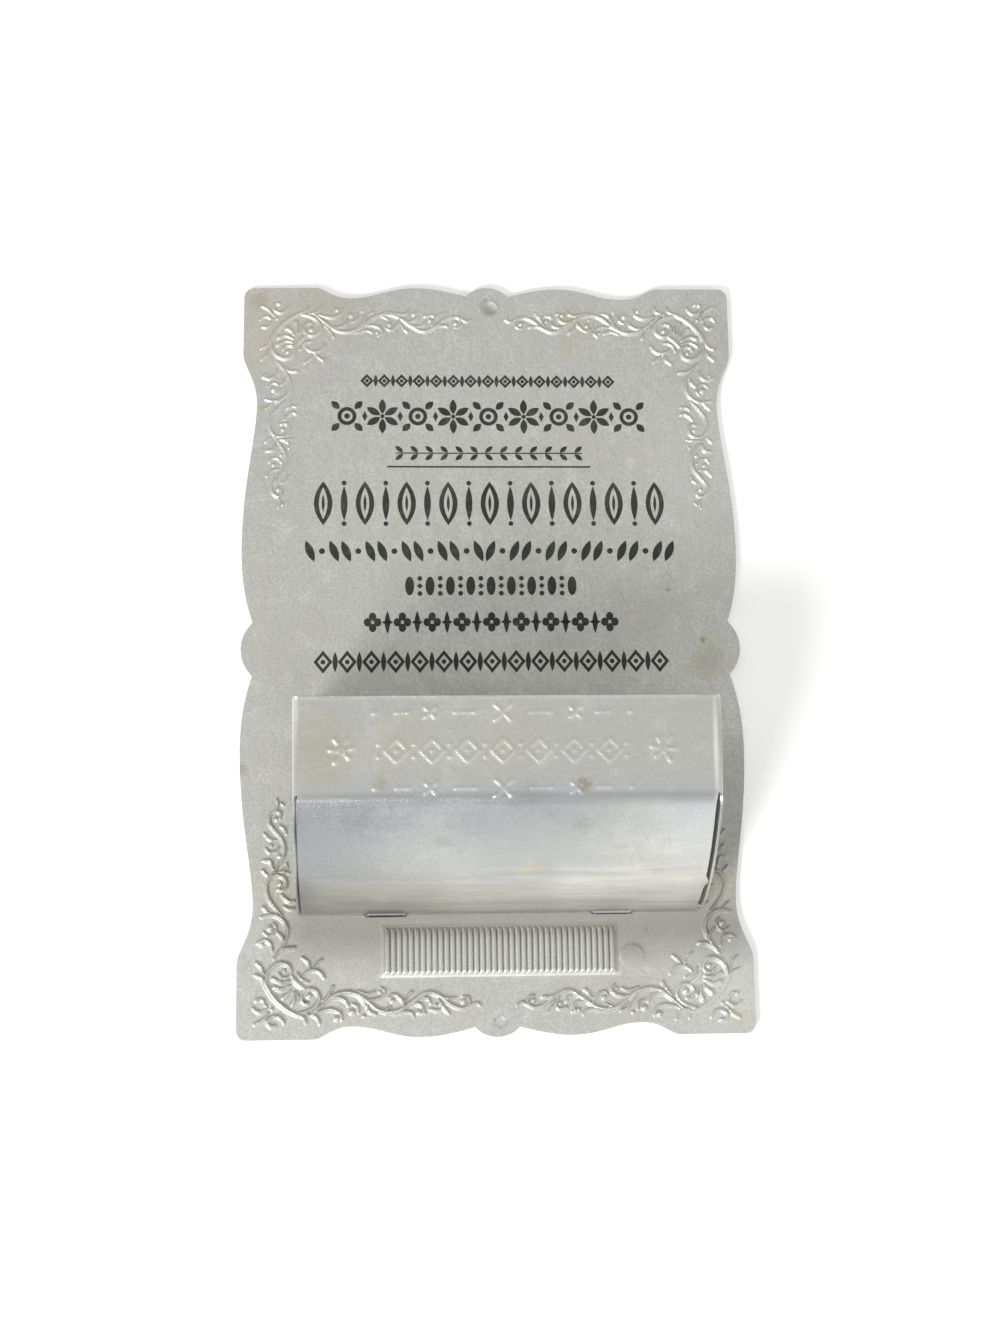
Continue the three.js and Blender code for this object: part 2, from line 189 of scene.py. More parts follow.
# %% The corner's scroll and shell
CORNER_SCROLL = [
    # The C scroll, its leaf and its two curls
    ([(30.6, 60.9), (31.0, 60.0), (32.4, 59.4), (33.8, 58.6), (35.2, 57.4), (36.2, 56.2),
      (36.9, 55.0), (37.6, 53.8), (38.7, 53.2)], (0.45, 0.9, 1.15, 1.1, 0.5)),
    ([(28.4, 61.1), (28.7, 60.3), (29.4, 59.7), (30.6, 59.5)], (0.4, 0.75, 0.4)),
    ([(31.6, 59.3), (30.1, 58.9), (29.0, 58.1), (28.5, 57.0), (28.9, 56.0), (29.9, 55.5),
      (30.9, 55.8), (31.4, 56.7), (31.0, 57.6), (30.3, 57.8)], (0.6, 0.9, 0.8, 0.6)),
    ([(37.0, 54.8), (36.9, 53.6), (36.6, 52.7), (35.9, 51.9), (34.9, 51.4), (33.9, 51.5),
      (33.2, 52.1), (33.0, 53.1), (33.6, 53.7), (34.5, 53.6), (34.9, 53.0)],
     (0.5, 0.8, 1.0, 0.8, 0.55)),
    # The shell's ribs, fanned out between the curls
    ([(32.2, 55.9), (31.9, 56.6), (31.9, 57.4)], (0.25, 0.4)),
    ([(32.5, 55.9), (32.5, 57.0), (32.8, 58.0)], (0.3, 0.6, 1.1)),
    ([(33.0, 55.6), (33.6, 56.4), (34.3, 56.9)], (0.3, 0.7, 1.15)),
    ([(33.2, 54.9), (34.5, 55.5), (35.7, 55.2)], (0.35, 0.7, 1.0)),
    ([(33.2, 54.2), (34.5, 54.5), (35.9, 53.8)], (0.35, 0.7, 0.8)),
    # The bar across the shell's foot and the leaf behind it
    ([(30.8, 55.5), (31.9, 54.7), (32.9, 53.5)], (0.5, 1.15, 0.6)),
    ([(30.1, 54.4), (31.0, 54.2), (31.7, 53.6), (32.0, 52.9)], (0.4, 0.7, 0.4)),
    # The sprig inside the corner
    ([(27.7, 53.8), (28.4, 52.9), (29.5, 52.5), (30.6, 52.9), (31.2, 53.5)], (0.6, 0.9, 0.35)),
    ([(30.0, 52.2), (30.3, 51.3), (31.2, 50.5)], (0.35, 0.8, 0.5)),
    ([(28.1, 50.9), (28.8, 51.5), (29.4, 52.1)], (0.5, 0.6, 0.3)),
    # The sprig in the lug
    ([(34.1, 60.8), (34.6, 60.1), (35.3, 59.7), (36.1, 59.9), (36.7, 60.6), (36.3, 61.3),
      (35.6, 61.3)], (0.55, 0.6, 0.7, 0.7)),
    ([(36.5, 59.1), (37.4, 60.2), (38.7, 61.0)], (0.3, 0.65, 0.6)),
    ([(36.8, 58.4), (37.7, 59.0), (38.5, 58.9), (39.0, 58.4)], (0.4, 0.7, 0.5)),
    ([(37.0, 58.2), (37.3, 57.4), (37.9, 57.0), (38.5, 57.2)], (0.4, 0.6, 0.7)),
    # The leaf at the side
    ([(37.3, 53.1), (37.7, 52.1), (38.6, 51.2)], (0.35, 0.7, 0.5)),
]
print("corner scroll:", len(CORNER_SCROLL), "strokes")

# %% [markdown]
# From the corner a vine runs along the top or bottom edge. It is one long wave that thins towards the
# plate's middle, and short leaves leave it on both sides. One leaf repeated along a curve would be
# quicker, but the real leaves all differ, so each is a stroke of its own.

# %% The vine along the top and bottom
EDGE_VINE = [
    ([(2.7, 58.5), (3.6, 58.1), (5.6, 58.9), (7.6, 58.2), (9.4, 56.8), (11.2, 56.3),
      (13.2, 57.4), (15.2, 58.8), (17.2, 59.3), (19.2, 58.9), (20.8, 57.6), (22.2, 56.6),
      (24.0, 56.1), (26.0, 56.5), (27.8, 57.9), (29.6, 59.4)],
     (0.5, 0.7, 0.8, 0.9, 0.8, 1.0, 0.9, 0.9, 0.5)),
    ([(4.8, 58.6), (4.4, 57.8), (4.8, 57.1), (5.6, 57.0)], (0.35, 0.5, 0.35)),
    ([(6.8, 57.2), (8.0, 57.3), (9.4, 56.8)], (0.6, 0.7, 0.35)),
    ([(7.7, 59.8), (8.4, 59.1), (9.0, 58.3), (9.5, 57.3)], (0.35, 0.9, 0.7, 0.4)),
    ([(8.9, 58.6), (9.5, 59.2), (10.7, 59.0)], (0.35, 0.6, 0.7)),
    ([(10.7, 58.0), (11.0, 57.4), (11.9, 57.1), (12.9, 57.4), (13.8, 58.0)], (0.5, 0.7, 0.3)),
    ([(12.1, 59.7), (11.9, 58.9), (12.5, 58.2), (13.6, 58.0), (14.9, 58.6)], (0.5, 0.9, 0.4)),
    ([(13.4, 60.2), (13.8, 59.5), (15.0, 59.3), (16.4, 59.6), (17.9, 59.6)], (0.4, 0.7, 0.35)),
    ([(15.0, 58.5), (15.2, 57.6), (15.9, 56.9)], (0.4, 0.8, 0.6)),
    ([(13.7, 56.2), (14.3, 56.7), (14.8, 57.6)], (0.7, 0.5, 0.35)),
    ([(16.0, 56.7), (16.8, 56.5), (17.4, 57.0)], (0.4, 0.5, 0.4)),
    ([(17.1, 58.5), (18.0, 58.9)], (0.5, 0.35)),
    ([(20.9, 57.3), (19.6, 57.3), (18.5, 56.9), (18.0, 56.1), (18.6, 55.5)],
     (0.35, 0.7, 0.7, 0.5)),
    ([(19.4, 59.7), (20.5, 59.2), (21.0, 58.2)], (0.4, 0.8, 0.4)),
    ([(19.7, 56.0), (20.8, 56.4), (22.4, 55.9)], (0.4, 0.6, 0.35)),
    ([(21.0, 58.6), (21.4, 57.6), (22.2, 56.8)], (0.4, 1.0, 0.6)),
    ([(23.9, 58.2), (24.4, 57.4), (25.6, 56.9), (27.0, 57.2), (28.4, 58.3)], (0.6, 0.9, 0.4)),
    ([(24.9, 60.4), (25.2, 59.4), (26.4, 58.8), (27.7, 58.9), (29.0, 59.3)], (0.6, 0.9, 0.4)),
    ([(27.9, 57.4), (27.0, 56.4), (26.3, 55.2)], (0.35, 0.55, 0.7)),
    ([(22.2, 59.4), (22.4, 58.4), (23.2, 57.9)], (0.35, 0.6, 0.35)),
]
print("edge vine:", len(EDGE_VINE), "strokes")

# %% [markdown]
# A second vine hangs from the corner along the side, in three curls. The plate's edge swings in and
# out beside it. A vine that is bent to shape from a straight one would run over that edge, so this one
# was drawn where it lies, stroke by stroke.

# %% The vine along the sides
SIDE_VINE = [
    ([(32.5, 49.0), (33.8, 49.1), (34.9, 49.7), (35.8, 50.7)], (0.8, 0.9, 0.4)),
    ([(36.0, 49.4), (36.3, 48.3), (37.2, 47.7), (38.3, 48.1)], (0.45, 0.8, 0.7)),
    ([(35.5, 50.3), (34.3, 48.7), (33.6, 47.0), (33.7, 45.6), (34.4, 44.5), (35.5, 43.8),
      (36.6, 43.7), (37.8, 44.0)], (0.35, 0.7, 0.85, 0.8, 0.5)),
    ([(34.1, 48.2), (34.5, 47.2), (35.2, 46.5)], (0.35, 0.75, 0.5)),
    ([(37.4, 46.4), (36.6, 47.0), (35.7, 46.6), (35.4, 45.7), (35.9, 45.0)], (0.4, 0.55, 0.4)),
    ([(36.5, 43.5), (37.1, 42.9), (37.6, 42.4)], (0.4, 0.7, 0.5)),
    ([(34.4, 43.9), (35.6, 42.5), (36.6, 41.1), (37.0, 39.6), (36.8, 38.4), (36.0, 37.5),
      (35.0, 37.4), (34.1, 37.9), (33.8, 38.9), (34.3, 39.7), (35.1, 39.6)],
     (0.35, 0.75, 0.7, 0.7, 0.6)),
    ([(32.6, 41.5), (33.3, 41.6), (34.1, 41.0), (34.6, 40.4)], (0.7, 0.9, 0.35)),
    ([(32.6, 42.7), (33.3, 42.8), (34.2, 42.3)], (0.5, 0.6, 0.35)),
    ([(33.4, 37.0), (34.4, 36.8), (35.7, 36.9)], (0.4, 0.6, 0.3)),
    ([(33.8, 35.4), (33.7, 36.2), (34.4, 36.5)], (0.4, 0.5, 0.35)),
    ([(36.2, 37.3), (34.9, 35.4), (34.2, 33.9), (34.2, 32.4), (34.8, 31.2), (35.8, 30.0),
      (36.6, 28.8), (36.5, 27.6), (35.6, 26.9), (34.8, 27.3), (34.9, 28.1)],
     (0.4, 0.75, 0.7, 0.7, 0.5)),
    ([(36.0, 36.2), (36.4, 35.1), (37.5, 34.9)], (0.45, 0.8, 0.6)),
    ([(36.9, 37.3), (37.7, 36.5)], (0.4, 0.6)),
    ([(35.0, 32.8), (35.6, 33.5), (36.6, 33.6), (37.1, 33.0)], (0.35, 0.5, 0.6)),
    ([(35.5, 31.6), (36.5, 31.5), (37.5, 30.5)], (0.35, 0.6, 0.5)),
    ([(33.9, 30.6), (34.2, 29.8), (34.9, 29.3)], (0.4, 0.5, 0.35)),
    ([(35.6, 26.9), (35.2, 25.9), (35.5, 24.9)], (0.4, 0.5, 0.35)),
    ([(34.3, 26.0), (34.8, 25.5)], (0.35, 0.4)),
]
print("side vine:", len(SIDE_VINE), "strokes")

# %% [markdown]
# Round beads fill the hearts of the curls. Then everything is cut into one die. Every stroke could be a
# mesh of its own that is joined to the plate, but one die gives one surface without seams. Long stems
# stand a little higher than leaves, as they do on the real plate, and beads stand highest. Three
# softened tables are kept: one for the sheet's front, one for its rear, and a wide one that says where
# the relief ends.

# %% Cutting the corner die
BEADS = [
    (30.1, 56.6, 0.65), (34.1, 52.6, 0.5), (36.0, 58.6, 0.35), (5.4, 57.8, 0.6),
    (9.8, 58.3, 0.4), (12.6, 59.4, 0.55), (11.7, 59.6, 0.4), (16.8, 57.5, 0.55),
    (18.8, 56.1, 0.4), (21.4, 59.9, 0.35), (23.3, 59.2, 0.7), (25.7, 60.2, 0.65),
    (37.7, 48.4, 0.5), (36.4, 45.8, 0.75), (34.8, 38.7, 0.5), (35.0, 34.2, 0.4),
    (36.3, 32.5, 0.45), (35.5, 28.2, 0.5),
]
VINE_HEIGHT = 0.52
LEAF_HEIGHT = 0.48
BEAD_HEIGHT = 0.54
LONG_STEM = 6
FULLNESS = 1.15

corner_die = Die(0, 22, 42, 64)
for points, widths in CORNER_SCROLL + EDGE_VINE + SIDE_VINE:
    corner_die.stroke(points, [FULLNESS * width for width in widths],
                      VINE_HEIGHT if len(points) > LONG_STEM else LEAF_HEIGHT)
for x, z, radius in BEADS:
    corner_die.stroke([(x, z)], (2 * radius,), BEAD_HEIGHT)
corner_front = corner_die.soften(2)
corner_rear = corner_die.soften(10)
corner_reach = corner_die.soften(40)
print("corner die: highest place", round(corner_front.max(), 2), "mm,", len(BEADS), "beads")

# %% [markdown]
# The plate's surface is a formula: how far each place stands in front of the flat sheet. Its first
# part is the corner's relief, mirrored about the middle of the press, which isn't quite the middle of
# the plate. A mirror modifier could copy a modelled corner, but then all four would be the same. Here
# the press bit less deep at the top, and the top left corner is the most worn.

# %% The corners' relief
PLATE_FRONT = -1.1
PLATE_REAR = -0.7
SHEET = PLATE_REAR - PLATE_FRONT
PRESS_MIDDLE = (0.2, -0.4)
TOP_SOFTER = 0.18
TOP_FADE = 60
TOP_LEFT_WORN = 0.2
LEFT_FADE = 40


def corner_height(heights, x, z):
    u = np.abs(x - PRESS_MIDDLE[0]) - PRESS_MIDDLE[0]
    v = np.abs(z - PRESS_MIDDLE[1]) - PRESS_MIDDLE[1]
    top = np.clip(0.5 + z / TOP_FADE, 0, 1)
    left = np.clip(0.5 - x / LEFT_FADE, 0, 1)
    depth = 1 - TOP_SOFTER * top - TOP_LEFT_WORN * top * left
    return depth * corner_die.look_up(heights, u, v)


print("the sheet is", round(SHEET, 2), "mm thick")

# %% [markdown]
# The striker is what a match is struck on: a raised patch of round ribs with narrow grooves. A row of
# cylinders joined to the plate would look similar, but the real ribs are waves in the sheet itself, so
# they are a sine wave raised to a small power, which rounds the ribs and narrows the grooves. Each rib
# ends in a small round wall at the bottom and runs out more gently at the top.

# %% The striker's relief
RIB_COUNT = 39
RIB_PITCH = 0.955
RIB_HEIGHT = 0.44
RIB_ROUNDNESS = 0.55
RIB_END_BELOW = 0.65
RIB_END_ABOVE = 1.1
RIB_OVER_FOOT = 0.15
STRIKER_RISE = 0.34
STRIKER_MIDDLE = (0.5, -49.65)
STRIKER_HALF = (RIB_COUNT * RIB_PITCH / 2, 7.45 / 2)
STRIKER_WALL = 0.5
TOP_SLOPE = 1.9


def striker_height(x, z):
    x_in = STRIKER_HALF[0] - np.abs(x - STRIKER_MIDDLE[0])
    z_in = STRIKER_HALF[1] - np.abs(z - STRIKER_MIDDLE[1])
    lower = z < STRIKER_MIDDLE[1]
    foot = (np.minimum(x_in, z_in) + STRIKER_WALL) / STRIKER_WALL
    slope = np.minimum(foot, (z_in + STRIKER_WALL) / TOP_SLOPE)
    foot = np.clip(np.where(lower, foot, slope), 0, 1)
    rib = np.abs(np.sin(np.pi * np.clip(x_in, 0, None) / RIB_PITCH)) ** RIB_ROUNDNESS
    rib_end = np.where(lower, RIB_END_BELOW, RIB_END_ABOVE)
    over_foot = np.where(lower, RIB_OVER_FOOT, 0)
    end = np.sin(np.clip((z_in + over_foot) / rib_end, 0, 1) * np.pi / 2)
    return STRIKER_RISE * foot + RIB_HEIGHT * rib * end


print("striker", round(2 * STRIKER_HALF[0], 1), "by", round(2 * STRIKER_HALF[1], 1), "mm")

# %% [markdown]
# Thin sheet is never quite flat. Three slow waves stand for years of handling, the top left lug is bent
# back towards the wall, and a round mark was pressed in beside the striker. A displacement texture
# could do the waves, but as a formula the print can follow the very same surface later.

# %% The mark and the waves
DENT = (21.9, -51.0)
DENT_RADIUS = 2.0
DENT_STEP = 0.22
DENT_EDGE = 0.17
LUG_LINE = 78
LUG_LENGTH = 26
LUG_BEND = 0.45
RIBS_AT_REAR = 0.9


def dent_height(x, z):
    """A round step in the sheet, faint in its lower part."""
    away = np.hypot(x - DENT[0], z - DENT[1])
    upper = np.clip(0.5 * (z - DENT[1]) / DENT_RADIUS + 0.7, 0, 1)
    return DENT_STEP * 0.5 * (1 - np.tanh((away - DENT_RADIUS) / DENT_EDGE)) * upper


def lug_share(x, z):
    """0 on most of the plate, rising to 1 at the tip of the top left lug."""
    return np.clip((z - x - LUG_LINE) / LUG_LENGTH, 0, 1)


def handling_waves(x, z):
    # Each wave is its height times a sine, and the longer it is, the larger the number under x or z
    wave = 0.05 * np.sin(x / 13.0 + 0.6) * np.sin(z / 17.0 + 1.1)
    wave += 0.035 * np.sin(x / 7.5 - z / 11.0 + 2.0)
    wave += 0.018 * np.sin(x / 4.2 + z / 6.1)
    return wave - LUG_BEND * lug_share(x, z) ** 2


def plate_front(x, z):
    raised = corner_height(corner_front, x, z) + striker_height(x, z) + dent_height(x, z)
    return PLATE_FRONT - raised - handling_waves(x, z)


def plate_rear(x, z):
    raised = corner_height(corner_rear, x, z) + RIBS_AT_REAR * striker_height(x, z)
    return PLATE_REAR - raised - handling_waves(x, z)


print("front surface at the middle:", round(float(plate_front(0.0, 0.0)), 3), "mm")

# %% [markdown]
# The plate's outline isn't drawn again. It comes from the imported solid: the loops where its flat front
# face ends are the scalloped outline, the nail holes and the slots. An edge that only one face uses is
# such a border, so the loops are found by following those edges round. The striker's own loops are
# left out, because the formula above already makes it.

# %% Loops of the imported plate
FLATNESS = 0.002


def free_edges(faces):
    """Edges that only one face uses, in that face's direction."""
    once = {}
    for face in faces:
        for start, end in zip(face, face[1:] + face[:1]):
            if (end, start) in once:
                del once[end, start]
            else:
                once[start, end] = True
    return list(once)


def front_loops(node):
    """Closed loops of (x, z) in millimetres where the node's flat front face ends."""
    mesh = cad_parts[node].data
    spots = [tuple(round(c / MM, 3) for c in vertex.co) for vertex in mesh.vertices]
    faces = [[spots[i] for i in face.vertices] for face in mesh.polygons]
    flat = [face for face in faces if all(abs(y - PLATE_FRONT) < FLATNESS for _, y, _ in face)]
    onward = dict(free_edges(flat))
    loops = []
    while onward:
        start, spot = onward.popitem()
        loop = [start]
        while spot != start:
            loop.append(spot)
            spot = onward.pop(spot)
        loops.append(np.array([(x, z) for x, _, z in loop]))
    return sorted(loops, key=lambda loop: -np.ptp(loop[:, 1]))


def off_striker(loop):
    gap = np.abs(loop.mean(0) - STRIKER_MIDDLE)
    return gap[0] > STRIKER_HALF[0] or gap[1] > STRIKER_HALF[1] + 1


plate_outline, *openings = front_loops("back_plate")
openings = [loop for loop in openings if off_striker(loop)]
print("outline of", len(plate_outline), "points and", len(openings), "openings")

# %% [markdown]
# Between those loops the mesh needs small triangles where the sheet is embossed and large ones where it
# is flat. An even fine grid over the whole plate would be ten times as heavy. So there are three grids:
# a fine one for the scrolls and the mark, a coarse one for the flat middle, and one whose lines run
# with the striker's ribs, so that every rib gets the same round shape.

# %% Grids of points
FINE = 0.14
COARSE = 3.0
RIB_STEPS = 12
WALL_STEP = 0.09
MARGIN = 0.1
END_ROWS = 1.1
MIDDLE_ROWS = 1.3
MIDDLE_STEP = 0.5


def even_grid(step):
    x, z = np.meshgrid(np.arange(plate_low[0], plate_high[0], step),
                       np.arange(plate_low[2], plate_high[2], step))
    x[1::2] += step / 2
    return np.column_stack([x.ravel(), z.ravel()])


def striker_grid():
    half = STRIKER_HALF[0]
    side = half + STRIKER_WALL
    across = np.concatenate([[-side - MARGIN, -side],
                             np.arange(-side + WALL_STEP, -half, WALL_STEP),
                             np.arange(-half, half, RIB_PITCH / RIB_STEPS),
                             np.arange(half, side, WALL_STEP), [side, side + MARGIN]])
    edge = STRIKER_HALF[1] + STRIKER_WALL
    near = np.concatenate([[-MARGIN], np.arange(0, END_ROWS, WALL_STEP)])
    between = np.arange(MIDDLE_ROWS - edge, edge - MIDDLE_ROWS, MIDDLE_STEP)
    upward = np.concatenate([near - edge, between, edge - near[::-1]])
    x, z = np.meshgrid(across, upward)
    return np.column_stack([x.ravel(), z.ravel()]) + STRIKER_MIDDLE


print("fine grid:", len(even_grid(FINE)), "points, striker's grid:", len(striker_grid()))

# %% [markdown]
# A point too near a border would make a sliver, and a point outside the plate is no use, so both kinds
# are sorted out. Blender could cast a ray at the solid for each point. Counting how often a line from
# the point crosses the border is quicker for a hundred thousand of them: an odd number means inside.

# %% Points where the sheet is worked
RAISED = 1e-4
CLEAR_OF_BORDER = 0.1
CLEAR_OF_OPENING = 0.4


def inside(loop, x, z):
    """Even-odd test of many points against one loop."""
    odd = np.zeros(len(x), bool)
    for (ax, az), (bx, bz) in zip(loop, np.roll(loop, -1, axis=0)):
        if az != bz:
            crosses = (az > z) != (bz > z)
            odd ^= crosses & (x < (bx - ax) * (z - az) / (bz - az) + ax)
    return odd


def keep_clear(points, loops, distance):
    """Drops the points that lie too near a loop's own points and edges."""
    keep = np.ones(len(points), bool)
    for loop in loops:
        for start, end in zip(loop, np.roll(loop, -1, axis=0)):
            along = end - start
            share = np.clip((points - start) @ along / max(along @ along, 1e-9), 0, 1)
            away = np.linalg.norm(points - start - share[:, None] * along, axis=1)
            keep &= away > distance
    return points[keep]


def plate_points():
    grid = even_grid(FINE)
    raised = corner_height(corner_reach, grid[:, 0], grid[:, 1]) > RAISED
    away = np.abs(np.hypot(grid[:, 0] - DENT[0], grid[:, 1] - DENT[1]) - DENT_RADIUS)
    fine = grid[raised | (away < 1)]
    flat = even_grid(COARSE)
    flat = flat[corner_height(corner_reach, flat[:, 0], flat[:, 1]) <= RAISED]
    gap = np.abs(flat - STRIKER_MIDDLE)
    flat = flat[(gap[:, 0] > STRIKER_HALF[0] + 1) | (gap[:, 1] > STRIKER_HALF[1] + 1)]
    flat = keep_clear(flat, openings, CLEAR_OF_OPENING)
    points = keep_clear(np.vstack([fine, flat, striker_grid()]), openings, CLEAR_OF_BORDER)
    points = points[inside(plate_outline, points[:, 0], points[:, 1])]
    return keep_clear(points, [plate_outline], CLEAR_OF_BORDER)


inner_points = plate_points()
print("points inside the plate:", len(inner_points))

# %% [markdown]
# Both pieces are sheets of one thickness. A Solidify modifier could thicken a single skin, but here the
# front and the rear differ, because relief is softer on the rear. So a helper takes the front skin, the
# rear skin and the faces between their points, and closes them with a rim along every free edge. The
# cut edges are then real, and the mesh is a closed body that could be made.

# %% Closing a sheet
SHARP_FROM = 38


def add_mesh(name, points_mm, faces, crease_degrees=SHARP_FROM):
    mesh = bpy.data.meshes.new(name)
    mesh.from_pydata((np.asarray(points_mm) * MM).tolist(), [], faces)
    mesh.validate()
    mesh.shade_smooth()
    mesh.set_sharp_from_angle(angle=math.radians(crease_degrees))
    piece = bpy.data.objects.new(name, mesh)
    bpy.context.scene.collection.objects.link(piece)
    return piece


def close_sheet(name, front, rear, faces):
    count = len(front)
    rim = [[start, start + count, end + count, end] for start, end in free_edges(faces)]
    back = [[i + count for i in reversed(face)] for face in faces]
    piece = add_mesh(name, np.vstack([front, rear]), faces + back + rim)
    print(name, "has", len(piece.data.polygons), "faces and", len(rim), "in its rim")
    return piece


print("an edge is drawn sharp where it turns by more than", SHARP_FROM, "degrees")

# %% [markdown]
# Now the plate is pressed. A constrained Delaunay triangulation joins all the points and keeps every
# border as it is. Triangles that lie in an opening or outside the outline are dropped, each point gets
# its depth from the formulas for the front and the rear, and the bent lug is drawn in a little. A
# remesh modifier would be shorter to write, but it would round the cut edges off. The piece then stands
# for the imported plate and rides on the root body.

# %% Pressing the plate
MERGE_DISTANCE = 1e-5
LUG_PULL = 0.2


def triangulate(loops, points):
    """Flat points and the triangles between them that lie on the plate."""
    edges = []
    start = 0
    for loop in loops:
        edges += [(start + i, start + (i + 1) % len(loop)) for i in range(len(loop))]
        start += len(loop)
    corners = [Vector(point) for point in np.vstack([*loops, points])]
    flat, _, triangles, *_ = delaunay_2d_cdt(corners, edges, [], 0, MERGE_DISTANCE)
    flat = np.array(flat)
    triangles = np.array(triangles)
    middle = flat[triangles].mean(1)
    solid = inside(loops[0], middle[:, 0], middle[:, 1])
    for loop in loops[1:]:
        solid &= ~inside(loop, middle[:, 0], middle[:, 1])
    used, triangles = np.unique(triangles[solid], return_inverse=True)
    return flat[used], triangles.reshape(-1, 3).tolist()


def press_plate():
    flat, triangles = triangulate([plate_outline, *openings], inner_points)
    x, z = flat.T
    pulled = LUG_PULL * lug_share(x, z)
    front = np.column_stack([x + pulled, plate_front(x, z), z - pulled])
    rear = np.column_stack([x + pulled, plate_rear(x, z), z - pulled])
    return close_sheet("pressed_back_plate", front, rear, triangles)


plate = press_plate()
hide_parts("back_plate")
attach(plate, "root")

# %% [markdown]
# The pocket is one sheet too: a front panel that leans out a little, a crease, and a floor that curves
# back to the plate. Before anything is folded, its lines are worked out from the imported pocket: where
# the panel stands at each height, and the circle that the floor was bent round. That circle goes
# through the crease and the foot on the plate, which leaves one place for its centre. The lines could
# be matched by eye in the viewport, but then the tabs might miss their slots.

# %% Lines of the pocket
PANEL_MIDDLE = (pocket_low[0] + pocket_high[0]) / 2
POCKET_HALF = (pocket_high[0] - pocket_low[0]) / 2
PANEL_TOP = pocket_high[2]
PANEL_LEAN = 0.8
TOP_FLARE = 0.14
TOP_FLARE_HEIGHT = 0.8
FLARE_ABOVE_CREASE = 4
CREASE = np.array([pocket_low[1] + PANEL_LEAN, -28.5])
FLOOR_BASE = np.array([PLATE_FRONT, -43.6])
FLOOR_RADIUS = 38.0

chord = FLOOR_BASE - CREASE
across = np.array([-chord[1], chord[0]]) / np.linalg.norm(chord)
floor_centre = (CREASE + FLOOR_BASE) / 2 + across * math.sqrt(FLOOR_RADIUS ** 2 - chord @ chord / 4)


def floor_underside(y):
    """Height of the floor's outer face at a depth."""
    return floor_centre[1] - np.sqrt(FLOOR_RADIUS ** 2 - (y - floor_centre[0]) ** 2)


def panel_face(z):
    """Depth of the panel's outer face at a height, with its top edge flared forward."""
    up = z - CREASE[1]
    lean = PANEL_LEAN * up / (PANEL_TOP - CREASE[1])
    flare = np.clip((z - PANEL_TOP) / TOP_FLARE_HEIGHT + 1, 0, 1) ** 2
    return CREASE[0] - lean + TOP_FLARE * (1 - flare) * np.clip(up / FLARE_ABOVE_CREASE, 0, 1)


print("floor struck from", floor_centre.round(2), "mm with radius", FLOOR_RADIUS)

# %% [markdown]
# The panel has its own die, which was pressed before the sheet was folded. Its ornaments are small and
# geometric, so each is a short function that cuts a few strokes: a bead, a quatrefoil, a dash with a
# bead at each end, a lozenge and a sprig. Solids set on the panel would show a hard line round their
# feet, which pressed ornament doesn't have.

# %% Ornaments of the panel
PANEL_PRESS_HEIGHT = 0.26

panel_die = Die(-34, -29, 35, -12)


def bead(x, z, radius):
    panel_die.stroke([(x, z)], (2 * radius,), PANEL_PRESS_HEIGHT)


def quatrefoil(x, z, size):
    for degrees in (45, 135, 225, 315):
        angle = math.radians(degrees)
        tip = (x + size * math.cos(angle), z + size * math.sin(angle))
        panel_die.stroke([(x, z), tip], (0.45, 1.05), PANEL_PRESS_HEIGHT)


def dash(x, z, half):
    panel_die.stroke([(x - half, z), (x + half, z)], (0.6, 0.5, 0.6), 0.9 * PANEL_PRESS_HEIGHT)
    bead(x - half, z, 0.5)
    bead(x + half, z, 0.5)


def lozenge(x, z, half_width, half_height):
    corners = [(x - half_width, z), (x, z + half_height), (x + half_width, z),
               (x, z - half_height), (x - half_width, z)]
    for start, end in zip(corners, corners[1:]):
        panel_die.stroke([start, end], (0.8, 0.8), 0.8 * PANEL_PRESS_HEIGHT)


def sprig(x, z, side):
    """A spray of six petals with a bead at the foot of each."""
    petals = [(-1.15, 1.85, 1.2), (0.7, 1.75, 1.05), (-1.85, 0.15, 1.1),
              (1.75, 0.45, 1.05), (-1.1, -1.75, 1.2), (1.05, -1.1, 1.05)]
    for right, up, width in petals:
        foot = (x + side * 0.55 * right, z + 0.55 * up)
        panel_die.stroke([foot, (x + side * right, z + up)], (0.6, width), PANEL_PRESS_HEIGHT)
        bead(x + side * 0.25 * right, z + 0.25 * up, 0.42)


print("panel die", panel_die.across, "by", panel_die.upward, "steps")

# %% [markdown]
# The ornaments stand in three rows. Along the panel's top and foot run dots, dashes and quatrefoils,
# the same on both sides of the middle. Between them a sprig stands at each end, with a band of lozenges
# and beads between the two. Loops set them out, because an even pitch is what makes it look ruled.

# %% Laying out the panel
UPPER_ROW = -15.3
LOWER_ROW = -26.8
BAND = -21.1
LOZENGE_PITCH = 5.4

for row in (UPPER_ROW, LOWER_ROW):
    quatrefoil(0, row, 1.7)
    for side in (-1, 1):
        dash(side * 5.8, row, 1.5)
        quatrefoil(side * 11.1, row, 1.05)
        dash(side * 15.3, row, 0.85)
        bead(side * 19.5, row, 0.6)
for side in (-1, 1):
    sprig(side * 24.4, BAND, -side)
for place in range(-3, 4):
    lozenge(LOZENGE_PITCH * place, BAND, 1.75, 1.8)
    bead(LOZENGE_PITCH * place, BAND, 0.45)
for place in range(-4, 4):
    for rise in (-0.95, 0.95):
        bead(LOZENGE_PITCH * (place + 0.5), BAND + rise, 0.5)
panel_front = panel_die.soften(20)
panel_rear = panel_die.soften(30)
print("panel die: highest place", round(panel_front.max(), 2), "mm")

# %% [markdown]
# A folded sheet could be built from flat walls that are joined at the bends. It is easier to build it
# the way it is cut: as one strip of rows and columns, with the rows set along the folded line. A small
# class keeps the points and joins one row to the next. Rows that two parts share are the same points,
# so each bend is one continuous surface.

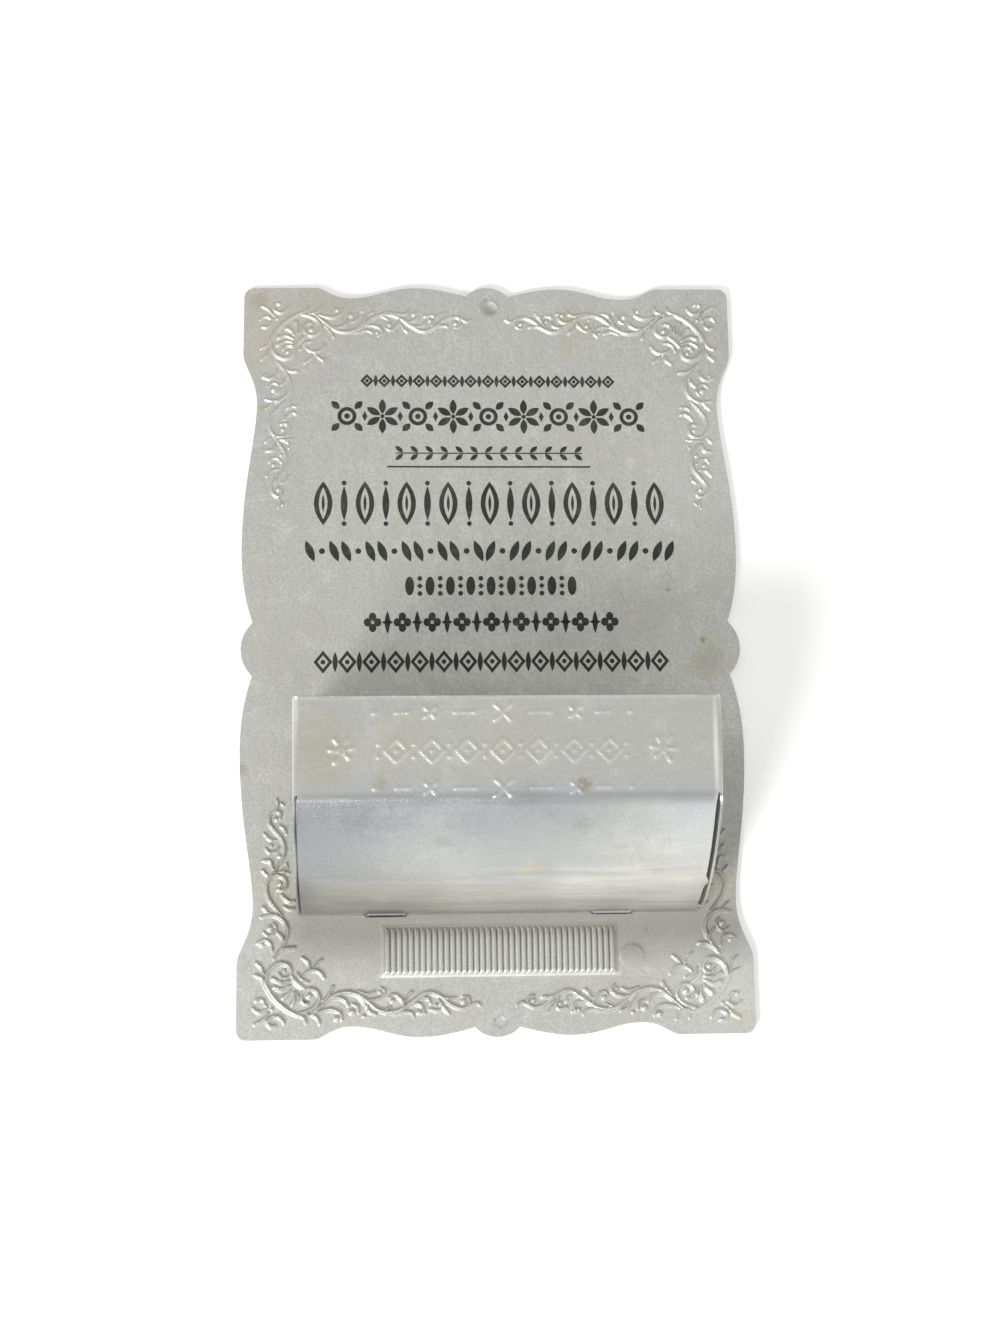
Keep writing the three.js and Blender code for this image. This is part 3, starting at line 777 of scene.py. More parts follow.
# %% A skin that grows row by row
def arc(centre, radius, start, end, steps):
    angle = np.linspace(start, end, steps + 1)
    return np.column_stack([centre[0] + radius * np.cos(angle), centre[1] + radius * np.sin(angle)])


class Skin:
    """Points and faces of a sheet without thickness."""

    def __init__(self):
        self.points = []
        self.faces = []

    def add(self, x, y, z):
        """A row of points. Each of x, y and z is a list, or one number for the whole row."""
        first = len(self.points)
        self.points += [tuple(point) for point in np.column_stack(np.broadcast_arrays(x, y, z))]
        return list(range(first, len(self.points)))

    def join(self, upper, lower, flip=False):
        for a, b, c, d in zip(upper, upper[1:], lower[1:], lower):
            self.faces.append([a, b, c, d] if flip else [d, c, b, a])


skin = Skin()
print("a quarter arc in 8 steps has", len(arc((0, 0), 1, 0, math.pi / 2, 8)), "points")

# %% [markdown]
# The panel comes first: level rows from its top edge down to the crease. Columns fall exactly on the
# sides of the floor's tabs, and rows on the ends of the flaps' tabs, so that the tabs can grow out of
# existing points later. A grid from the Add menu would be quicker, but its columns wouldn't fall there.

# %% The panel's rows
CREASE_SETBACK = 0.7
PANEL_END = CREASE[1] + CREASE_SETBACK
BEND_RADIUS = 0.9
STRIP_HALF = POCKET_HALF - BEND_RADIUS
TAB_PLACES = (-18.3, 18.3)
TAB_HALF = 3.4
FLAP_TAB = (-28.0, -20.0)
COLUMN_STEP = 0.17
PANEL_RUNS = [(PANEL_TOP, FLAP_TAB[1], 42), (FLAP_TAB[1], PANEL_END + 1, 38),
              (PANEL_END + 1, PANEL_END, 6)]


def spaced(start, end):
    return np.linspace(start, end, max(2, int(abs(end - start) / COLUMN_STEP) + 1))


tab_sides = [place + side * TAB_HALF for place in TAB_PLACES for side in (-1, 1)]
stops = [-STRIP_HALF, *tab_sides, STRIP_HALF]
columns = np.unique(np.concatenate([spaced(a, b) for a, b in zip(stops, stops[1:])]).round(6))
heights = [z for a, b, count in PANEL_RUNS for z in np.linspace(a, b, count, endpoint=False)]
panel_rows = [skin.add(columns + PANEL_MIDDLE, panel_face(z), z) for z in [*heights, PANEL_END]]
print("panel:", len(panel_rows), "rows of", len(columns), "points")

# %% [markdown]
# Below the panel the sheet turns through the crease, a short curve, and goes on as the floor's arc,
# which stops just clear of the plate. A bevel could round the crease, but rows that are placed along
# the bend keep the grain and the wave running through it. The floor sits 0.3 mm left of the panel, as
# on the real piece, so the rows shift over while they turn. A small snag on its right edge touches the
# flap.

# %% The crease and the floor
FLOOR_SHIFT = 0.3
FLOOR_MIDDLE = PANEL_MIDDLE - FLOOR_SHIFT
PLAY = 0.3
FLOOR_STEPS = 48
CREASE_STEPS = 8
SETTLE_ROWS = 11
SNAG = 0.6
SNAG_HEIGHT = -40.2
SNAG_HALF = 0.45
SNAG_REACH = 2.5


def floor_line():
    """The crease and the floor from the side, as places (y, z)."""
    start = math.atan2(*(CREASE - floor_centre)[::-1]) + CREASE_SETBACK / FLOOR_RADIUS
    end = -math.acos((PLATE_FRONT - PLAY - floor_centre[0]) / FLOOR_RADIUS)
    floor = arc(floor_centre, FLOOR_RADIUS, start, end, FLOOR_STEPS)
    t = np.linspace(0, 1, CREASE_STEPS + 1)[1:-1, None]
    top = np.array([panel_face(PANEL_END), PANEL_END])
    crease = (1 - t) ** 2 * top + 2 * t * (1 - t) * CREASE + t ** 2 * floor[0]
    return np.vstack([crease, floor])


floor_rows = []
for i, (y, z) in enumerate(floor_line()):
    settled = min(1, (i + 1) / SETTLE_ROWS)
    x = columns + PANEL_MIDDLE + (FLOOR_MIDDLE - PANEL_MIDDLE) * settled
    snag = SNAG * math.exp(-((z - SNAG_HEIGHT) / SNAG_HALF) ** 2)
    x += snag * np.clip((columns - STRIP_HALF + SNAG_REACH) / SNAG_REACH, 0, 1) ** 2
    floor_rows.append(skin.add(x, y, z))
strip = panel_rows + floor_rows
for upper, lower in zip(strip, strip[1:]):
    skin.join(upper, lower)
print("floor:", len(floor_rows), "rows")

# %% [markdown]
# Two tabs hold the floor. Each runs on from the floor's edge, turns down, goes back through its slot in
# the plate and is folded down behind it, with its tip's corners cut off. The line it follows is a
# handful of listed steps, because the bends in such thin sheet are too tight for an arc.

# %% The floor's tabs
TAB_SHOULDER = 0.7
SHOULDER_ROWS = 4
TAB_TIP = pocket_low[2]
TAB_TIP_CUT = 0.8
THROUGH_SLOT = [(0.14, -0.03), (0.26, -0.11), (0.33, -0.24), (0.38, -0.38), (0.5, -0.48),
                (0.72, -0.53), (0.86, -0.72), (0.94, -1.1), (1.0, -1.6)]


def add_floor_tab(place):
    floor_edge = np.array([PLATE_FRONT - PLAY, floor_underside(PLATE_FRONT - PLAY)])
    line = [floor_edge + step for step in THROUGH_SLOT]
    line += [(-SHEET, TAB_TIP + TAB_TIP_CUT), (-SHEET, TAB_TIP)]
    picked = [i for i, x in enumerate(columns) if abs(x - place) <= TAB_HALF + 1e-4]
    shares = (columns[picked] - place) / TAB_HALF
    row = [floor_rows[-1][i] for i in picked]
    for i, (y, z) in enumerate(line):
        half = TAB_HALF - TAB_SHOULDER * min(1, i / SHOULDER_ROWS)
        if i == len(line) - 1:
            half -= TAB_TIP_CUT
        following = skin.add(FLOOR_MIDDLE + place + shares * half, y, z)
        skin.join(row, following)
        row = following


for place in TAB_PLACES:
    add_floor_tab(place)
print("floor tabs at", TAB_PLACES, "mm from the floor's middle")

# %% [markdown]
# A flap closes each side. It leaves the panel's edge in a round bend and then runs flat back to the
# plate. Its foot follows the floor's curve but isn't joined to it, which leaves the fine dark gap that
# shows in the photograph. A separate side wall would be easier to place, but would show a seam at the
# corner, so the flap grows from the panel's own edge points.

# %% The side flaps
FLAP_PLAY = 0.12
BEND_STEPS = 8
FLAP_STEPS = 25
FOOT_FROM = 0.6
LEAST_RUN = 0.2


def flap_stations(side):
    """Places of the flap's columns, as x and the depth behind the panel's foot."""
    wall_x = PANEL_MIDDLE + side * POCKET_HALF
    stations = []
    for step in range(1, BEND_STEPS + 1):
        angle = step / BEND_STEPS * math.pi / 2
        stations.append((wall_x - side * BEND_RADIUS * (1 - math.sin(angle)),
                         BEND_RADIUS * (1 - math.cos(angle))))
    flat = PLATE_FRONT - FLAP_PLAY - CREASE[0] - BEND_RADIUS
    return stations + [(wall_x, BEND_RADIUS + depth)
                       for depth in np.linspace(0, flat, FLAP_STEPS + 1)[1:]]


def flap_heights(depth, share):
    """Heights of one column, from the top edge down to the flap's foot."""
    ease = min(1, depth / BEND_RADIUS)
    foot = PANEL_END * (1 - ease) + floor_underside(CREASE[0] + max(depth, FOOT_FROM)) * ease
    tab_foot = (PANEL_END + 1) * (1 - share) + FLAP_TAB[0] * share
    stops = [PANEL_TOP, FLAP_TAB[1], max(tab_foot, foot + LEAST_RUN), foot]
    runs = [np.linspace(a, b, count, endpoint=False)
            for a, b, (_, _, count) in zip(stops, stops[1:], PANEL_RUNS)]
    return np.concatenate([*runs, [foot]])


def add_flap(side):
    """Grows the flap, and gives back the points of its rear edge from which its tab grows."""
    stations = flap_stations(side)
    column = [row[-1 if side > 0 else 0] for row in panel_rows]
    for x, depth in stations:
        share = depth / stations[-1][1]
        z = flap_heights(depth, share)
        lean = (panel_face(z) - CREASE[0]) * (1 - share)
        following = skin.add(x, CREASE[0] + depth + lean, z)
        skin.join(column, following, flip=side > 0)
        column = following
    first = PANEL_RUNS[0][2]
    return column[first:first + PANEL_RUNS[1][2] + 1]


print("flap columns at depths", [round(float(depth), 1) for _, depth in flap_stations(1)][::8], "mm")

# %% [markdown]
# Each flap ends in a tab too. It goes straight through the plate and is bent inwards behind it, round a
# small arc. The photograph doesn't show these tabs, and they could be left out, but then the pocket
# would swing on its floor's tabs. The flaps are added here together with their tabs.

# %% The flaps' tabs
FLAP_TAB_LEG = 4.0
FLAP_TAB_BEND = 0.8


def add_flap_tab(side, row):
    wall_x = PANEL_MIDDLE + side * POCKET_HALF
    outer = FLAP_TAB_BEND + SHEET / 2
    bend = arc((0, 0), outer, 0, math.pi / 2, BEND_STEPS)[1:]
    inner = wall_x - side * (outer + FLAP_TAB_LEG)
    line = [(wall_x, -outer), *[(wall_x - side * (outer - bx), -outer + by) for bx, by in bend],
            (inner + side * TAB_TIP_CUT, 0.0), (inner, 0.0)]
    z = np.array([skin.points[i][2] for i in row])
    tip = z.mean() + (z - z.mean()) * (1 - 2 * TAB_TIP_CUT / np.ptp(z))
    for x, y in line:
        following = skin.add(x, y, tip if (x, y) == line[-1] else z)
        skin.join(row, following, flip=side > 0)
        row = following


for side in (-1, 1):
    add_flap_tab(side, add_flap(side))
print("pocket's skin:", len(skin.points), "points")

# %% [markdown]
# Last, the skin gets its thickness. Every point has an outward direction, from the faces round it. The
# outer face moves out by the panel's relief and a slight wave, and the inner face lies one sheet
# further in, with the relief softened. Modifiers for thickness and waves would move both faces alike,
# but pressed relief is softer inside. The wave dies out near the plate, where the tabs hold the sheet.

# %% Thickness and relief of the pocket
PANEL_DEPTH = 0.35
HELD_UP_TO = 1.5
FREE_AFTER = 3
WAVE_INWARD = 0.1


def skin_normals(points, faces):
    """Outward direction at every point of the skin, from the faces round it."""
    quads = np.array(faces)
    across = points[quads[:, 2]] - points[quads[:, 0]]
    along = points[quads[:, 3]] - points[quads[:, 1]]
    facing = np.cross(across, along)
    normals = np.zeros_like(points)
    for corner in range(4):
        np.add.at(normals, quads[:, corner], facing)
    return normals / np.linalg.norm(normals, axis=1, keepdims=True)


def close_pocket():
    base = np.array(skin.points)
    normals = skin_normals(base, skin.faces)
    x, y, z = base.T
    on_panel = (y < CREASE[0] + PANEL_DEPTH) & (np.abs(x - PANEL_MIDDLE) < STRIP_HALF)
    wave = 0.07 * np.sin(x / 9.0 + 0.4) * np.sin(z / 5.0 + y / 6.0)
    wave += 0.03 * np.sin(x / 3.7 - z / 4.3)
    wave = (wave - WAVE_INWARD) * np.clip((-HELD_UP_TO - y) / FREE_AFTER, 0, 1)
    raised = panel_die.look_up(panel_front, x, z) * on_panel
    sunk = panel_die.look_up(panel_rear, x, z) * on_panel
    front = base + normals * (raised + wave)[:, None]
    front[:, 1] = np.maximum(front[:, 1], pocket_low[1])
    rear = base + normals * (sunk + wave - SHEET)[:, None]
    return close_sheet("folded_match_pocket", front, rear, skin.faces)


pocket = close_pocket()
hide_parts("match_pocket")
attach(pocket, "root")

# %% [markdown]
# The plate is printed with dark ink between the scrolls. An image could carry the print, but its edges
# would blur close up. So each ornament is a thin closed solid that lies on the sheet and follows its
# waves, and the whole print is a piece of its own with sharp edges at any distance.

# %% A shape of ink
INK_THICKNESS = 0.015
ink_points = []
ink_faces = []


def print_shape(outer, inner=None):
    """Adds one ornament: a filled outline round its middle, or a band between two outlines."""
    outer = np.array(outer)
    loops = [outer, np.array(inner)] if inner is not None else [outer, outer.mean(0)[None, :]]
    first = len(ink_points)
    count = len(outer)
    flat = np.vstack(loops)
    y = plate_front(flat[:, 0], flat[:, 1])
    top = np.column_stack([flat[:, 0], y - INK_THICKNESS, flat[:, 1]])
    foot = np.column_stack([flat[:, 0], y + INK_THICKNESS / 2, flat[:, 1]])
    ink_points.extend(top)
    ink_points.extend(foot)
    below = first + len(flat)
    for i in range(count):
        j = (i + 1) % count
        k = [count + i, count + j] if inner is not None else [count]
        ink_faces.append([first + i, first + j] + [first + c for c in reversed(k)])
        ink_faces.append([below + c for c in k] + [below + j, below + i])
        ink_faces.append([first + j, first + i, below + i, below + j])
        if inner is not None:
            ink_faces.append([first + k[0], first + k[1], below + k[1], below + k[0]])


print("ink is", INK_THICKNESS, "mm thick")

# %% [markdown]
# Printer's ornaments are built from few outlines. Four are enough here: an oval, a leaf of two arcs
# with a point at each end, a diamond, and a diamond drawn as a line of even width. Extruded curve
# objects would look the same, but a list of corners needs no object of its own.

# %% Outlines of the ornaments
def oval(x, z, half_width, half_height, sides=20):
    angle = 2 * np.pi * np.arange(sides) / sides
    return np.column_stack([x + half_width * np.cos(angle), z + half_height * np.sin(angle)])


def pointed(x, z, length, width, degrees=90.0, steps=8):
    """A leaf: two arcs that meet in a point at each end."""
    along = np.linspace(-1, 1, steps + 1)
    side = (1 - along ** 2) * width / 2
    right = np.column_stack([along * length / 2, -side])
    left = np.column_stack([-along * length / 2, side])[1:-1]
    turn = math.radians(degrees)
    rows = np.array([[math.cos(turn), math.sin(turn)], [-math.sin(turn), math.cos(turn)]])
    return np.vstack([right, left]) @ rows + (x, z)


def diamond(x, z, half_width, half_height):
    return np.array([(x + half_width, z), (x, z + half_height), (x - half_width, z),
                     (x, z - half_height)])


def print_diamond_ring(x, z, half_width, half_height, line):
    inner_width = half_width - line * math.hypot(half_width, half_height) / half_height
    inner_height = half_height - line * math.hypot(half_width, half_height) / half_width
    print_shape(diamond(x, z, half_width, half_height), diamond(x, z, inner_width, inner_height))


def four_leaves(x, z, reach, length, width):
    for degrees in (45, 135, 225, 315):
        turn = math.radians(degrees)
        print_shape(pointed(x + reach * math.cos(turn), z + reach * math.sin(turn), length, width,
                            degrees))


print("an oval has", len(oval(0, 0, 1, 1)), "corners")

# %% [markdown]
# Each row of print repeats one, two or three ornaments at even places. So an ornament is a function of
# its place alone, and one helper sets them in turn along the row. An array modifier could repeat them
# too, but its copies couldn't each follow the sheet's waves. A row of lozenges and a thin rule need
# more numbers and get their own functions.

# %% Rows
def places(half_width, count):
    return np.linspace(-half_width, half_width, count)


def set_row(z, half_width, count, *ornaments):
    for i, x in enumerate(places(half_width, count)):
        ornaments[i % len(ornaments)](x, z)


def print_rule(z, half_width, line):
    xs = places(half_width, 2 + int(half_width))
    for start, end in zip(xs, xs[1:]):
        print_shape([(start, z - line / 2), (end, z - line / 2), (end, z + line / 2),
                     (start, z + line / 2)])


def lozenge_row(z, half_width, count, half_height, line):
    xs = places(half_width, count)
    gap = xs[1] - xs[0]
    for x in xs:
        print_diamond_ring(x, z, 0.39 * gap, half_height, line)
        print_shape(oval(x, z, 0.8 * line, 0.8 * line, 12))
    for x in xs[:-1] + gap / 2:
        print_shape(pointed(x, z, 1.8 * half_height, 1.7 * line))


lozenge_row(z=46.6, half_width=20.6, count=15, half_height=1.2, line=0.4)
lozenge_row(z=-2.2, half_width=28.0, count=15, half_height=1.95, line=0.5)
print_rule(z=31.4, half_width=17.2, line=0.28)
print("first rows:", len(ink_faces), "faces of ink")

# %% [markdown]
# The second and fourth rows are the tallest and darkest. One alternates rosettes with stars of six
# leaves, and small diamonds stand between them. The other alternates wide spindles with thin ones. All
# their parts are given as shares of the row's height, so a row can be made taller by one number.

# %% The two tall rows
ROSETTE_ROW = 40.3
LEAF_STAR = 3.1
SPINDLE = 3.8


def rosette(x, z):
    print_shape(oval(x, z, 1.6, 1.6), oval(x, z, 0.95, 0.95))
    print_shape(oval(x, z, 0.48, 0.48, 12))
    four_leaves(x, z, 2.75, 1.9, 1.15)


def leaf_star(x, z):
    for degrees in range(90, 450, 60):
        angle = math.radians(degrees)
        reach = 0.56 * LEAF_STAR
        print_shape(pointed(x + reach * math.cos(angle), z + reach * math.sin(angle),
                            0.86 * LEAF_STAR, 1.2, degrees))
    print_shape(oval(x, z, 0.36, 0.36, 12))


def small_diamond(x, z):
    print_shape(diamond(x, z, 0.45, 0.9))


def wide_spindle(x, z):
    print_shape(pointed(x, z, 2 * SPINDLE, 3.1, steps=12),
                pointed(x, z, 2 * SPINDLE - 2.0, 1.45, steps=12))
    print_shape(pointed(x, z, 0.8 * SPINDLE, 0.5))


def thin_spindle(x, z):
    print_shape(pointed(x, z, 1.6 * SPINDLE, 1.15))
    for rise in (-1, 1):
        print_shape(oval(x, z + rise * 0.93 * SPINDLE, 0.42, 0.42, 12))


set_row(ROSETTE_ROW, 24.0, 9, rosette, leaf_star)
set_row(ROSETTE_ROW, 21.0, 8, small_diamond)
set_row(25.0, 28.0, 17, wide_spindle, thin_spindle)
print("with the tall rows:", len(ink_faces), "faces of ink")

# %% [markdown]
# The other rows are lower: a laurel branch whose leaves point to its middle, a wreath of leaning
# leaves and dots, beads with dots, and quatrefoils. Every row could have ornaments of its own, but a
# printer set a few kinds again and again. With them the print is complete and becomes a piece that
# rides on the root body. It replaces nothing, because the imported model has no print.

# %% The low rows and the printed piece
LAUREL_ROW = 33.8
LAUREL = 1.25
LOW_ROW = 1.95
BEAD_ROW = 1.9


def half_of_row(x):
    return -1 if x < 0 else 1


def laurel_pair(x, z):
    for side in (-1, 1):
        print_shape(pointed(x, z + side * 0.55 * LAUREL, 1.35 * LAUREL, 0.62 * LAUREL,
                            90 - side * half_of_row(x) * 50))


def leaning_leaf(x, z):
    print_shape(pointed(x, z, 2 * LOW_ROW, 1.35, 90 - half_of_row(x) * 22))


def dot(x, z):
    print_shape(oval(x, z, 0.5, 0.5, 14))


def tall_bead(x, z):
    print_shape(oval(x, z, 0.75, 0.85 * BEAD_ROW))


def diamond_and_dots(x, z):
    print_shape(diamond(x, z, 0.5, 0.5))
    for rise in (-1, 1):
        print_shape(oval(x, z + 0.68 * rise * BEAD_ROW, 0.42, 0.42, 12))


def four_petals(x, z):
    for right, up in ((0, 1), (0, -1), (1, 0), (-1, 0)):
        print_shape(oval(x + 0.85 * right, z + 0.95 * up, 0.62, 0.72, 14))


def spindle_cross(x, z):
    print_shape(pointed(x, z, 2 * LOW_ROW, 0.9))
    print_shape(pointed(x, z, 1.9, 0.7, 0))


print_rule(LAUREL_ROW, 15.8, 0.2)
set_row(LAUREL_ROW, 15.2, 13, laurel_pair)
set_row(16.7, 30.2, 31, leaning_leaf, dot, leaning_leaf)
set_row(10.7, 13.6, 17, tall_bead, diamond_and_dots)
set_row(4.5, 19.8, 17, four_petals, spindle_cross)
ink = add_mesh("printed_ornaments", np.array(ink_points), ink_faces, crease_degrees=30)
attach(ink, "root")
print("print has", len(ink.data.polygons), "faces")

# %% [markdown]
# Finishes come next. A material is a tree of nodes, and many of its nodes do plain sums, so a few short
# helpers make them: one adds any node with its settings and links, the others are the sums, the noise
# and the soft steps that are used again and again. The same nodes could be set by hand in the shader
# editor, but written out they can be read and changed in one place. All distances are in millimetres of
# the object itself, so a finish stays where it is when the piece is moved.

# %% Helpers for nodes
MILLIMETRES_PER_METRE = 1000.0


def add_node(tree, kind, links, **settings):
    """A node with its settings, and its inputs given as sockets to link or plain values."""
    node = tree.nodes.new(kind)
    for name, value in settings.items():
        setattr(node, name, value)
    for name, value in links.items():
        if isinstance(value, bpy.types.NodeSocket):
            tree.links.new(value, node.inputs[name])
        else:
            node.inputs[name].default_value = value
    return node


def calculate(tree, operation, *values):
    return add_node(tree, "ShaderNodeMath", dict(enumerate(values)), operation=operation).outputs[0]


def calculate_vector(tree, operation, *values):
    node = add_node(tree, "ShaderNodeVectorMath", dict(enumerate(values)), operation=operation)
    return node.outputs["Value" if operation in ("DISTANCE", "DOT_PRODUCT") else "Vector"]


def fade(tree, value, start, end, curve="SMOOTHSTEP"):
    """0 where the value is at the start, 1 where it is at the end."""
    return add_node(tree, "ShaderNodeMapRange", {"Value": value, "From Min": start, "From Max": end},
                    interpolation_type=curve).outputs[0]


def noise(tree, place, scale, detail, roughness):
    return add_node(tree, "ShaderNodeTexNoise", {"Vector": place, "Scale": scale, "Detail": detail,
                                                 "Roughness": roughness}).outputs["Fac"]


def in_millimetres(tree):
    place = add_node(tree, "ShaderNodeTexCoord", {}).outputs["Object"]
    return add_node(tree, "ShaderNodeVectorMath", {0: place, "Scale": MILLIMETRES_PER_METRE},
                    operation="SCALE").outputs[0]


print("one metre is", MILLIMETRES_PER_METRE, "in the measure that the nodes use")

# %% [markdown]
# Both sheets have the same finish, so what they share is built once as node groups, each with named
# inputs and one mask as its output. The shader itself stays in each material. The first group is the
# grain that the rolling mill left: noise drawn out along one direction until it is fine lines. The
# second is oxide, which lies on the metal in soft clouds of any size. Image textures could give both,
# but noise has no seams and no end, and each use can choose its own scale.

# %% Rolled grain and clouds of oxide
def new_group(name, inputs, output):
    """An empty group. Its inputs are given with their usual values."""
    group = bpy.data.node_groups.new(name, "ShaderNodeTree")
    for label, value in inputs.items():
        kind = "NodeSocketVector" if isinstance(value, tuple) else "NodeSocketFloat"
        socket = group.interface.new_socket(name=label, in_out="INPUT", socket_type=kind)
        socket.default_value = value
    group.interface.new_socket(name=output, in_out="OUTPUT", socket_type="NodeSocketFloat")
    given = group.nodes.new("NodeGroupInput").outputs
    return group, given, group.nodes.new("NodeGroupOutput").inputs[output]


def grain_group():
    group, given, out = new_group("rolled_grain", {"Stretch": (9.0, 9.0, 0.3)}, "Lines")
    drawn = calculate_vector(group, "MULTIPLY", in_millimetres(group), given["Stretch"])
    lines = fade(group, noise(group, drawn, scale=1.0, detail=3.0, roughness=0.6), 0.3, 0.7, "LINEAR")
    group.links.new(lines, out)
    return group


def cloud_group():
    group, given, out = new_group(
        "oxide_clouds", {"Size": 12.0, "Low": 0.4, "High": 0.7, "Shift": 0.0}, "Mask")
    moved = calculate_vector(group, "ADD", in_millimetres(group), given["Shift"])
    scale = calculate(group, "DIVIDE", 1.0, given["Size"])
    clouds = noise(group, moved, scale, detail=7.0, roughness=0.62)
    group.links.new(fade(group, clouds, given["Low"], given["High"]), out)
    return group


rolled_grain = grain_group()
oxide_clouds = cloud_group()
print("inputs of the clouds:", [item.name for item in oxide_clouds.interface.items_tree])

# %% [markdown]
# Rust, old lacquer and haze sit in single places, and so do painted shade, painted highlights and
# painted reflections. They could be painted on, but a group can be placed as often as it is needed, each
# time with its own numbers. It makes one ragged spot: the distance from its place, with noise added to
# it, is turned into a soft mask. A ceiling and a half width keep a spot on the pocket's floor from
# climbing the panel or the flaps.

# %% Stain and painted light
SPOT_EDGES = (0.95, 0.05)
CEILING_EDGES = (-0.4, 0.8)
POCKET_AT = round(float(PANEL_MIDDLE), 3)


# One spot serves real stains and also painted shade, painted highlights and painted reflections.
def stain_and_painted_light_group():
    group, given, out = new_group(
        "stain_and_painted_light", {"Place": (0.0, 0.0, 0.0), "Radius": 2.0, "Ragged": 1.6, "Half Width": 1000.0,
                  "Ceiling": 1000.0}, "Mask")
    place = in_millimetres(group)
    away = calculate_vector(group, "DISTANCE", place, given["Place"])
    away = calculate(group, "DIVIDE", away, given["Radius"])
    grain = noise(group, place, scale=1.6, detail=5.0, roughness=0.7)
    swing = calculate(group, "SUBTRACT", grain, 0.5)
    spot = fade(group, calculate(group, "MULTIPLY_ADD", swing, given["Ragged"], away), *SPOT_EDGES)
    parts = add_node(group, "ShaderNodeSeparateXYZ", {0: place}).outputs
    below = fade(group, calculate(group, "SUBTRACT", given["Ceiling"], parts["Z"]), *CEILING_EDGES)
    aside = calculate(group, "ABSOLUTE", calculate(group, "SUBTRACT", parts["X"], POCKET_AT))
    between = calculate(group, "LESS_THAN", aside, given["Half Width"])
    allowed = calculate(group, "MULTIPLY", below, between)
    group.links.new(calculate(group, "MULTIPLY", spot, allowed), out)
    return group


stain_and_painted_light = stain_and_painted_light_group()
print("inputs of a stain:", [item.name for item in stain_and_painted_light.interface.items_tree])

# %% [markdown]
# Handling leaves sparse hairlines. Thin meshes or a scanned picture could give them, but noise that is
# drawn out already looks like them and never repeats. The group turns it and keeps only its crests, so
# most of the sheet stays clean.

# %% Fine scratches
SCRATCH_STRETCH = (5.0, 0.3, 0.13)
CREST = 0.035


def scratch_group():
    group, given, out = new_group("fine_scratches", {"Turn": 0.4, "Keep": 0.7}, "Mask")
    turned = add_node(group, "ShaderNodeVectorRotate",
                      {"Vector": in_millimetres(group), "Angle": given["Turn"]},
                      rotation_type="Y_AXIS").outputs[0]
    drawn = calculate_vector(group, "MULTIPLY", turned, SCRATCH_STRETCH)
    top = calculate(group, "ADD", given["Keep"], CREST)
    crests = noise(group, drawn, scale=1.0, detail=1.0, roughness=0.4)
    group.links.new(fade(group, crests, given["Keep"], top, "LINEAR"), out)
    return group


fine_scratches = scratch_group()
print("inputs of the scratches:", [item.name for item in fine_scratches.interface.items_tree])

# %% [markdown]
# Dirt and dullness gather along seams and bends, as bands with a ragged edge, and the same bands also
# paint shade into gaps and creases and paint highlights onto bends. Blender's ambient occlusion finds
# such corners by itself, but here each band has to lie where the real one does. A band lies at a level,
# reaches up and down from it, and ends softly at both sides. With a small half width the same group
# makes an upright strip. It leaves the back of the sheets alone.

# %% Band along a seam
IN_FRONT = -0.9


def seam_group():
    group, given, out = new_group(
        "seam_band",
        {"Level": 0.0, "Reach": 0.2, "Ragged": 0.3, "Middle": 0.5, "Half Width": 32.0}, "Mask")
    place = in_millimetres(group)
    parts = add_node(group, "ShaderNodeSeparateXYZ", {0: place}).outputs
    drawn = calculate_vector(group, "MULTIPLY", place, (0.1, 1.0, 1.0))
    grain = noise(group, drawn, scale=0.6, detail=4.0, roughness=0.65)
    swing = calculate(group, "SUBTRACT", grain, 0.5)
    moved = calculate(group, "MULTIPLY_ADD", swing, given["Ragged"], parts["Z"])
    away = calculate(group, "ABSOLUTE", calculate(group, "SUBTRACT", moved, given["Level"]))
    band = fade(group, away, given["Reach"], 0.0)
    aside = calculate(group, "ABSOLUTE", calculate(group, "SUBTRACT", parts["X"], given["Middle"]))
    room = calculate(group, "SUBTRACT", given["Half Width"], aside)
    soft_end = calculate(group, "MINIMUM", given["Reach"], given["Half Width"])
    within = fade(group, room, 0.0, soft_end)
    outside = calculate(group, "LESS_THAN", parts["Y"], IN_FRONT)
    in_front = calculate(group, "MULTIPLY", band, outside)
    group.links.new(calculate(group, "MULTIPLY", in_front, within), out)
    return group


seam_band = seam_group()
print("node groups:", [group.name for group in bpy.data.node_groups])

# %% [markdown]
# The sheet's colour is built up in layers, as it aged: bare metal, its grain, wiped streaks, oxide,
# paler patches, grit, scratches and specks. One painted picture could hold them all, but separate
# layers can be made stronger or weaker one by one. Each layer is a mask, a strength and a tint. Over
# them come the stains and the bands, each with its own place, and among them painted shade, painted
# highlights and painted reflections.

# %% Layers of colour
def use_group(tree, group, **values):
    node = tree.nodes.new("ShaderNodeGroup")
    node.node_tree = group
    for name, value in values.items():
        node.inputs[name.replace("_", " ")].default_value = value
    return node.outputs[0]


def blend_colour(tree, mask, strength, below, above):
    mix = tree.nodes.new("ShaderNodeMix")
    mix.data_type = "RGBA"
    tree.links.new(calculate(tree, "MULTIPLY", mask, strength), mix.inputs["Factor"])
    for socket, value in ((mix.inputs[6], below), (mix.inputs[7], above)):
        if isinstance(value, bpy.types.NodeSocket):
            tree.links.new(value, socket)
        else:
            socket.default_value = (*value, 1.0)
    return mix.outputs[2]


def times(colour, share):
    return tuple(share * part for part in colour)


def add_marks(tree, tone, stains_and_painted_light, bands):
    for spots, limits in stains_and_painted_light:
        for place, radius, tint, strength in spots:
            mask = use_group(tree, stain_and_painted_light, Place=place, Radius=radius, **limits)
            tone = blend_colour(tree, mask, strength, tone, tint)
    for level, reach, ragged, middle, half_width, tint, strength in bands:
        mask = use_group(tree, seam_band, Level=level, Reach=reach, Ragged=ragged, Middle=middle,
                         Half_Width=half_width)
        tone = blend_colour(tree, mask, strength, tone, tint)
    return tone


print("half of white is", times((1.0, 1.0, 1.0), 0.5))

